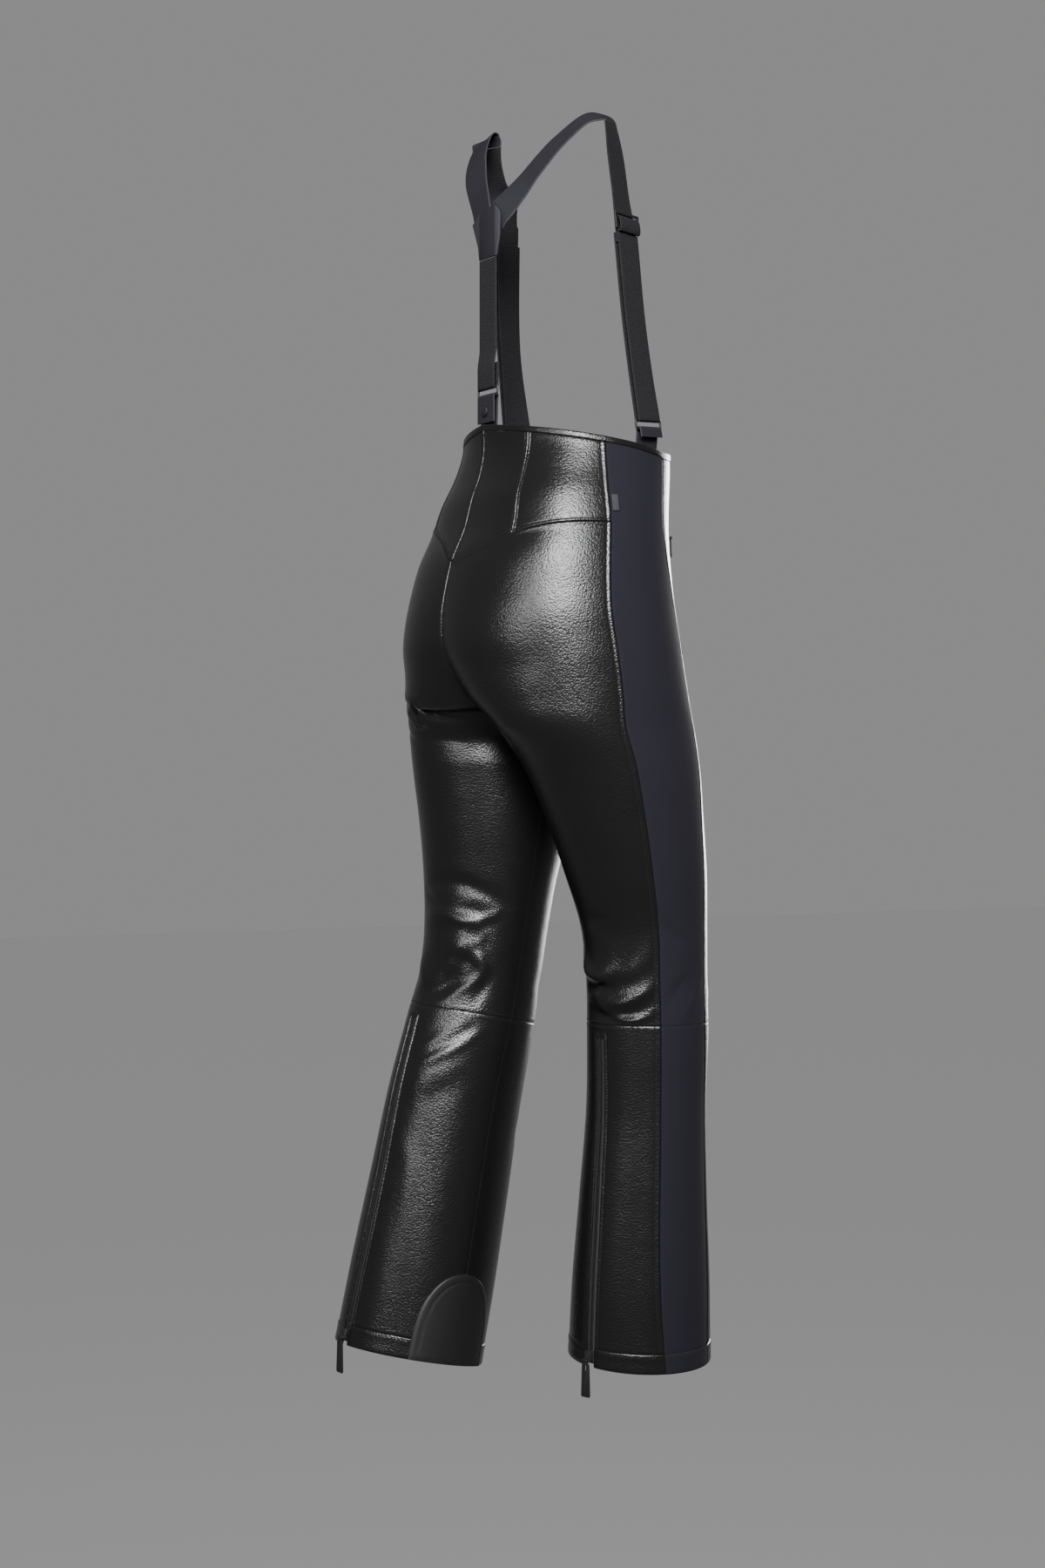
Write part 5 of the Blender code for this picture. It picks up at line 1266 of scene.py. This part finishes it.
# %% Sizes of the braces
BRACE_ANGLE = {RIGHT: -16.5, LEFT: -8.0}
BACK_STRAP_Y = 0.1060
BACK_RING_Z = 0.102
RING_HEIGHT, RING_WIDTH, RING_WIRE = 0.0140, 0.0460, 0.0013
RING_CORNER, RING_SIDES = 0.0028, 12
RING_REACH = 0.5 * RING_HEIGHT - RING_WIRE
LOOP_RADIUS = 0.0026
LOOP_STEPS = 10
TAB_THICK, TAB_INSIDE, TAB_TURNED = 0.0014, 0.0060, 0.0090
print("a brace ring is", RING_WIDTH, "x", RING_HEIGHT, "m")

# %% Following stations
def stations_between(table, start, end, steps):
    """Stations at even steps between two places on the smooth curve through a table."""
    rows = [(float(k), *station) for k, station in enumerate(table)]
    return along(rows, np.linspace(start, end, steps + 1))


def unit(vectors):
    """The same directions with a length of one."""
    return vectors / np.linalg.norm(vectors, axis=-1, keepdims=True)


def square_to(run, across):
    """A direction across, turned square to the run."""
    return unit(across - run * (across * run).sum(-1, keepdims=True))


def directions(stations):
    """The direction that a strap runs in at each station, and the one across it."""
    steps = unit(np.diff(stations[:, :3], axis=0))
    run = unit(np.vstack([steps[:1], steps[1:] + steps[:-1], steps[-1:]]))
    return run, square_to(run, stations[:, 3:6])


def round_wire(middle, toward, away, across):
    """Stations of a strap that turns round a wire, from one face of the ring to the other."""
    angle = np.linspace(0.0, math.pi, LOOP_STEPS + 1)[:, None]
    places = middle + toward * (LOOP_RADIUS * np.sin(angle)) + away * (LOOP_RADIUS * np.cos(angle))
    return np.hstack([places, np.broadcast_to(across, places.shape)])


def moved_off(stations, apart):
    """The stations of a strap moved off its own face by a distance."""
    run, across = directions(stations)
    return np.hstack([stations[:, :3] + np.cross(across, run) * apart, across])


# %% A strap and a ring
def strap(name, stations, thick, slot, node):
    """A flat band with rounded edges along stations; one with no node trims another."""
    run, across = directions(stations)
    out = np.cross(across, run)
    half, turn = 0.5 * STRAP_WIDTH, 0.5 * thick
    flat = np.linspace(-half + turn, half - turn, 11)
    bend = np.radians([60, 30, 0, -30, -60])
    level_out = np.full(len(flat), turn)
    u = np.concatenate([flat, half - turn + turn * np.cos(bend), flat[::-1],
                        -half + turn - turn * np.cos(bend)])
    w = np.concatenate([level_out, turn * np.sin(bend), -level_out, -turn * np.sin(bend)])
    count, around = len(stations), len(u)
    points = (stations[:, None, :3] + across[:, None] * u[None, :, None]
              + out[:, None] * w[None, :, None]).reshape(-1, 3)
    index = np.arange(count * around).reshape(count, around)
    after = np.roll(index, -1, axis=1)
    faces = np.stack([index[:-1], after[:-1], after[1:], index[1:]], -1).reshape(-1, 4).tolist()
    faces += [index[0, ::-1].tolist(), index[-1].tolist()]
    steps = np.linalg.norm(np.diff(stations[:, :3], axis=0), axis=1)
    travel = np.concatenate([[0.0], np.cumsum(steps)])
    lengths = np.stack(np.broadcast_arrays(u, travel[:, None]), -1).reshape(-1, 2)
    piece = closed_piece(name, points, faces, lengths, 60)
    if node is None:
        return dress(piece, slot, "garment")
    dress(piece, slot, "garment", node)
    print(f"{name}: {travel[-1]:.3f} m")
    return piece


def wire_ring(name, middle, across, up, node):
    """A flat wire ring, rectangular with round corners."""
    half_w = 0.5 * RING_WIDTH - RING_WIRE - RING_CORNER
    half_h = 0.5 * RING_HEIGHT - RING_WIRE - RING_CORNER
    path = []
    for n, (sign_u, sign_v) in enumerate(((1, 1), (-1, 1), (-1, -1), (1, -1))):
        turn = 0.5 * math.pi * (n + np.linspace(0.0, 1.0, 7))
        path.append(np.stack([sign_u * half_w + RING_CORNER * np.cos(turn),
                              sign_v * half_h + RING_CORNER * np.sin(turn)], -1))
    path = np.concatenate(path)
    run = unit(np.roll(path, -1, axis=0) - np.roll(path, 1, axis=0))
    away = across * run[:, 1:2] - up * run[:, 0:1]
    out = np.cross(across, up)
    turn = np.linspace(0.0, TURN, RING_SIDES, endpoint=False)[None, :, None]
    points = (middle + across * path[:, 0:1] + up * path[:, 1:2])[:, None]
    points = points + away[:, None] * (RING_WIRE * np.cos(turn)) + out * (RING_WIRE * np.sin(turn))
    index = np.arange(len(path) * RING_SIDES).reshape(len(path), RING_SIDES)
    after, beside = np.roll(index, -1, axis=0), np.roll(index, -1, axis=1)
    faces = np.stack([index, beside, np.roll(beside, -1, axis=0), after], -1).reshape(-1, 4)
    mesh = bpy.data.meshes.new(name)
    mesh.from_pydata(points.reshape(-1, 3).tolist(), [], faces.tolist())
    mesh.shade_smooth()
    return dress(placed(name, mesh), "hardware", "garment", node)


# %% Over the shoulders and the adjusters
JOIN = 0.012               # of a station, from the sewn place to each strap's end
BAR_ABOVE, ADJUSTER_OUT = 0.0135, 0.0034
# where the elastic turns over the adjuster's lower bar: how far down, and how far out
OVER_THE_BAR = [(0.0105, -0.0006), (0.0125, 0.0006), (0.0125, 0.0024), (0.0100, 0.0036),
                (0.0060, 0.0040), (0.0010, 0.0036), (-0.0030, 0.0024), (-0.0045, 0.0006)]


def shoulder(side):
    """Webbing from the patch over the shoulder, and the elastic that is sewn to it."""
    word, table = WORD[side], SHOULDER[side]
    strap(f"brace_webbing_{word}", stations_between(table, 0.0, SEWN - JOIN, 70), STRAP_THICK,
          "webbing", f"shoulder_strap_{word}")
    strap(f"brace_elastic_{word}", stations_between(table, SEWN + JOIN, len(table) - 1, 50),
          STRAP_THICK, "elastic", f"front_elastic_{word}")


def turn_over_bar(side):
    """The stretch of elastic that turns over the adjuster's lower bar."""
    low = np.array(FRONT_LOW[side])
    run = unit(low[1, :3] - low[0, :3])
    across = square_to(run, low[0, 3:6])
    out = np.cross(run, across)
    bar = low[0, :3] - run * BAR_ABOVE + out * ADJUSTER_OUT
    over = [[*(bar + run * down + out * away), *across] for down, away in OVER_THE_BAR]
    return strap(f"brace_turn_{WORD[side]}", stations_between(over, 0.0, len(over) - 1.0, 28),
                 STRAP_THICK, "elastic", None)


# %% Down to the front rings and tabs
WIRE_BELOW = 0.0040        # from the low strap's last station to the ring's upper wire
TAB_DEEPEST, TAB_HIGHEST = 0.018, 0.003    # below the waist edge, inside it


def low_strap(side):
    """Elastic down to the ring, round its wire and back up behind itself, and the ring."""
    word, low = WORD[side], np.array(FRONT_LOW[side])
    turn = turn_over_bar(side)
    run = unit(low[-1, :3] - low[-2, :3])
    across = square_to(run, low[-1, 3:6])
    wire = low[-1, :3] + run * WIRE_BELOW
    layer = stations_between(low, 0.0, len(low) - 1.0, 40)
    strap(f"brace_low_{word}",
          np.vstack([moved_off(layer, LOOP_RADIUS),
                     round_wire(wire, run, np.cross(across, run), across),
                     moved_off(layer, -LOOP_RADIUS)[::-1]]),
          STRAP_THICK, "elastic", f"front_strap_{word}")
    middle = wire + run * RING_REACH
    wire_ring(f"brace_ring_{word}", middle, across, -run, f"front_ring_{word}")
    return middle + run * RING_REACH, run, across


def front_tab(side, wire, run, across):
    """A tab sewn inside the waist that goes up and round the ring's lower wire."""
    angle = math.radians(BRACE_ANGLE[side])
    top = float(level(TOP_EDGE, angle))
    inside = []
    for below in np.linspace(TAB_DEEPEST, TAB_HIGHEST, 6):
        place = form(side, top - below, angle)
        tangent = unit(form(side, top - below, angle + 0.01) - place)
        tangent = tangent if tangent @ across > 0.0 else -tangent
        out = outward(side, top - below, angle)[0]
        inside.append([*(face(side, top - below, angle) - out * (CLOTH + TAB_INSIDE)), *tangent])
    turned = round_wire(wire, -run, np.cross(across, run), across)
    last = np.linspace(0.0, TAB_TURNED, 5)[1:, None] * run + turned[-1, :3]
    strap(f"brace_tab_{WORD[side]}",
          np.vstack([inside, turned, np.hstack([last, np.broadcast_to(across, last.shape)])]),
          TAB_THICK, "webbing", f"front_tab_{WORD[side]}")


# %% Hanging the braces
for side in (RIGHT, LEFT):
    shoulder(side)
    front_tab(side, *low_strap(side))

# %% The back strap, its ring and its tab
ELASTIC_TOP, ELASTIC_BEND, ELASTIC_LOW = 0.2520, 0.1520, 0.1280
DOUBLED = (0.1120, 0.1340)         # where the elastic's end lies behind itself
TAB_BELOW, TAB_END = 0.0200, 0.0020

down, out, across = (np.array(v, dtype=float) for v in ((0, 0, -1), (0, 1, 0), (-1, 0, 0)))
middle = np.array([0.0, BACK_STRAP_Y, BACK_RING_Z])


def hanging(places):
    """Stations in the middle plane, from pairs of y and z."""
    return np.array([[0.0, y, z, *across] for y, z in places])


wire_ring("brace_ring_back", middle, across, -down, "back_ring")
straight = [(BACK_STRAP_Y, z) for z in np.linspace(ELASTIC_TOP, ELASTIC_BEND, 24)]
eased = [(BACK_STRAP_Y + LOOP_RADIUS * (1 - math.cos(math.pi * t)) / 2,
          ELASTIC_BEND - (ELASTIC_BEND - ELASTIC_LOW) * t) for t in np.linspace(0.1, 1.0, 8)]
behind = [(BACK_STRAP_Y - LOOP_RADIUS, z) for z in np.linspace(*DOUBLED, 6)]
strap("brace_elastic_back",
      np.vstack([hanging(straight + eased),
                 round_wire(middle - down * RING_REACH, down, out, across), hanging(behind)]),
      STRAP_THICK, "elastic", "back_elastic")
top = float(level(TOP_EDGE, 0.5 * math.pi))
inside = float(form(LEFT, top, 0.5 * math.pi)[1]) - CLOTH - TAB_INSIDE
rising = [(inside, z) for z in np.linspace(top - TAB_BELOW, top - 0.0040, 5)]
falling = [(BACK_STRAP_Y + LOOP_RADIUS, z)
           for z in np.linspace(BACK_RING_Z - 0.008, top + TAB_END, 8)]
strap("brace_tab_back",
      np.vstack([hanging(rising), round_wire(middle + down * RING_REACH, -down, -out, across),
                 hanging(falling)]),
      TAB_THICK, "webbing", "back_tab")

# %% [markdown]
# ## Hard parts
# Sliders, pulls, adjusters and the press stud keep the frame's shape. A cast or moulded part
# never has a knife edge, so each is copied, its flat faces are joined, and its sharp edges
# are rounded a little.

# %% Rounding the hard parts
FLAT_WITHIN, SHARP_FROM = 4, 35    # degrees between faces


def softened(node, name, slot, body, round_by):
    """A copy of a node's mesh with its sharp edges rounded, in its place."""
    work = bmesh.new()
    work.from_mesh(nodes[node].data)
    bmesh.ops.remove_doubles(work, verts=work.verts, dist=1e-6)
    bmesh.ops.dissolve_limit(work, angle_limit=math.radians(FLAT_WITHIN), verts=work.verts,
                             edges=work.edges)
    sharp = [edge for edge in work.edges
             if len(edge.link_faces) == 2 and edge.calc_face_angle() > math.radians(SHARP_FROM)]
    bmesh.ops.bevel(work, geom=sharp, offset=round_by, segments=2, profile=0.5,
                    affect="EDGES", clamp_overlap=True)
    mesh = bpy.data.meshes.new(name)
    work.to_mesh(mesh)
    work.free()
    points = np.empty(len(mesh.vertices) * 3)
    mesh.vertices.foreach_get("co", points)
    give_lengths(mesh, points.reshape(-1, 3)[:, [0, 2]])
    mesh.shade_smooth()
    mesh.set_sharp_from_angle(angle=math.radians(40))
    print(f"{name}: {len(sharp)} edges rounded")
    return dress(placed(name, mesh), slot, body, node)


for place in ("calf_right", "calf_left", "pocket_right", "pocket_left", "fly"):
    softened(f"slider_{place}", f"zip_slider_{place}", "hardware", "garment", 0.0003)
    softened(f"pull_{place}", f"zip_pull_{place}", "hardware", f"pull_{place}", 0.00025)
for word in WORD.values():
    softened(f"adjuster_{word}", f"brace_adjuster_{word}", "hardware", "garment", 0.0004)
softened("back_snap", "press_stud_back", "hardware", "garment", 0.0003)
softened("side_tab", "side_label_tab", "webbing", "garment", 0.0002)

# %% The patch and its stitches
# x and z of its corners
PATCH = [(0.0192, 0.2530), (0.0215, 0.2680), (0.0345, 0.2960), (0.0130, 0.3085),
         (-0.0010, 0.3060), (-0.0130, 0.3135), (-0.0270, 0.3000), (-0.0262, 0.2750),
         (-0.0192, 0.2530)]
INSET = 0.88               # the stitches' outline, as a share of the patch's
PATCH_FACE = BACK_STRAP_Y + 0.0013

patch = softened("back_patch", "brace_patch", "webbing", "garment", 0.0005)
corners = np.array(PATCH)
centre = corners.mean(0)
inset = centre + (corners - centre) * INSET
sides = np.concatenate([np.linspace(inset[k - 1], inset[k], 12, endpoint=False)
                        for k in range(len(inset))])
outline = np.stack([sides[:, 0], np.full(len(sides), PATCH_FACE), sides[:, 1]], -1)
set_shapes("thread_patch",
           [spaced(outline, np.broadcast_to([0.0, 1.0, 0.0], outline.shape), STITCH_PITCH)],
           STITCH, STITCH_CHANGE, "thread")

# %% [markdown]
# ## Light and camera
# A large soft light stands over the camera, a smaller one low at its left shines on the
# left leg, and one behind the wearer's front draws the bright line down the outer edge. Each
# is brightest in its middle, so no light has a hard edge where the coated cloth mirrors it.
# The camera looks at the right hip from behind.

# %% The room
WALL_GREY, FLOOR_GREY = (0.27, 0.27, 0.27), (0.96, 0.96, 0.96)
FLOOR_Z, FLOOR_REACH = -6.0, 90

world = bpy.data.worlds.new("studio")
world.use_nodes = True
world.node_tree.nodes["Background"].inputs["Color"].default_value = (*WALL_GREY, 1.0)
bpy.context.scene.world = world
floor_mesh = bpy.data.meshes.new("floor")
floor_mesh.from_pydata([(FLOOR_REACH * x, FLOOR_REACH * y, FLOOR_Z)
                        for x, y in ((-1, -1), (1, -1), (1, 1), (-1, 1))], [], [(0, 1, 2, 3)])
floor_mesh.materials.append(material("floor_paint", FLOOR_GREY, 0.9, 0.1)[0])
floor = placed("floor", floor_mesh)
print("floor at", FLOOR_Z, "m")

# %% Soft lights
LIT_SPOT = Vector((0.0, 0.03, -0.35))
LIGHT_SPREAD = 110         # degrees


def soft_light(name, azimuth, elevation, distance, width, height, brightness, falloff=3.0):
    """A round soft box, brightest in its middle by its watts a square metre."""
    light = bpy.data.lights.new(name, "AREA")
    light.shape = "ELLIPSE"
    light.size, light.size_y = width, height
    light.energy = brightness * width * height
    light.spread = math.radians(LIGHT_SPREAD)
    light.use_nodes = True
    tree = light.node_tree
    centred, squared = (tree.nodes.new("ShaderNodeVectorMath") for _ in range(2))
    centred.operation, squared.operation = "SUBTRACT", "DOT_PRODUCT"
    tree.links.new(tree.nodes.new("ShaderNodeNewGeometry").outputs["Parametric"],
                   centred.inputs[0])
    centred.inputs[1].default_value = (0.5, 0.5, 0.0)
    for end in (0, 1):
        tree.links.new(centred.outputs["Vector"], squared.inputs[end])
    to_rim = maths(tree, "MULTIPLY", squared.outputs["Value"], 4.0)
    rest = maths(tree, "SUBTRACT", 1.0, to_rim, True)
    tree.links.new(maths(tree, "POWER", rest, falloff), tree.nodes["Emission"].inputs["Strength"])
    lamp = placed(name, light)
    a, e = math.radians(azimuth), math.radians(elevation)
    way = Vector((math.cos(a) * math.cos(e), math.sin(a) * math.cos(e), math.sin(e)))
    lamp.location = LIT_SPOT + way * distance
    lamp.rotation_mode = "QUATERNION"
    lamp.rotation_quaternion = (-way).to_track_quat("-Z", "Y")
    print(f"{name}: {light.energy:.0f} W")


soft_light("key_over_camera", 148, 30, 3.2, 3.4, 2.2, 140)
soft_light("low_left", 112, 16, 3.0, 1.8, 0.9, 66)
soft_light("front_edge", 305, 7, 3.0, 2.4, 2.4, 19, 1.5)

# %% The camera
CAMERA_PLACE = (-2.5715, 1.5459, -0.34)
CAMERA_WAY = Vector((2.598, -1.5, 0.0))

camera = bpy.data.cameras.new("camera")
camera.lens = 60
camera.sensor_width = 36
camera.dof.use_dof = False
viewer = placed("camera", camera)
viewer.location = CAMERA_PLACE
viewer.rotation_mode = "QUATERNION"
viewer.rotation_quaternion = CAMERA_WAY.to_track_quat("-Z", "Y")
bpy.context.scene.camera = viewer
print("lens:", camera.lens, "mm")
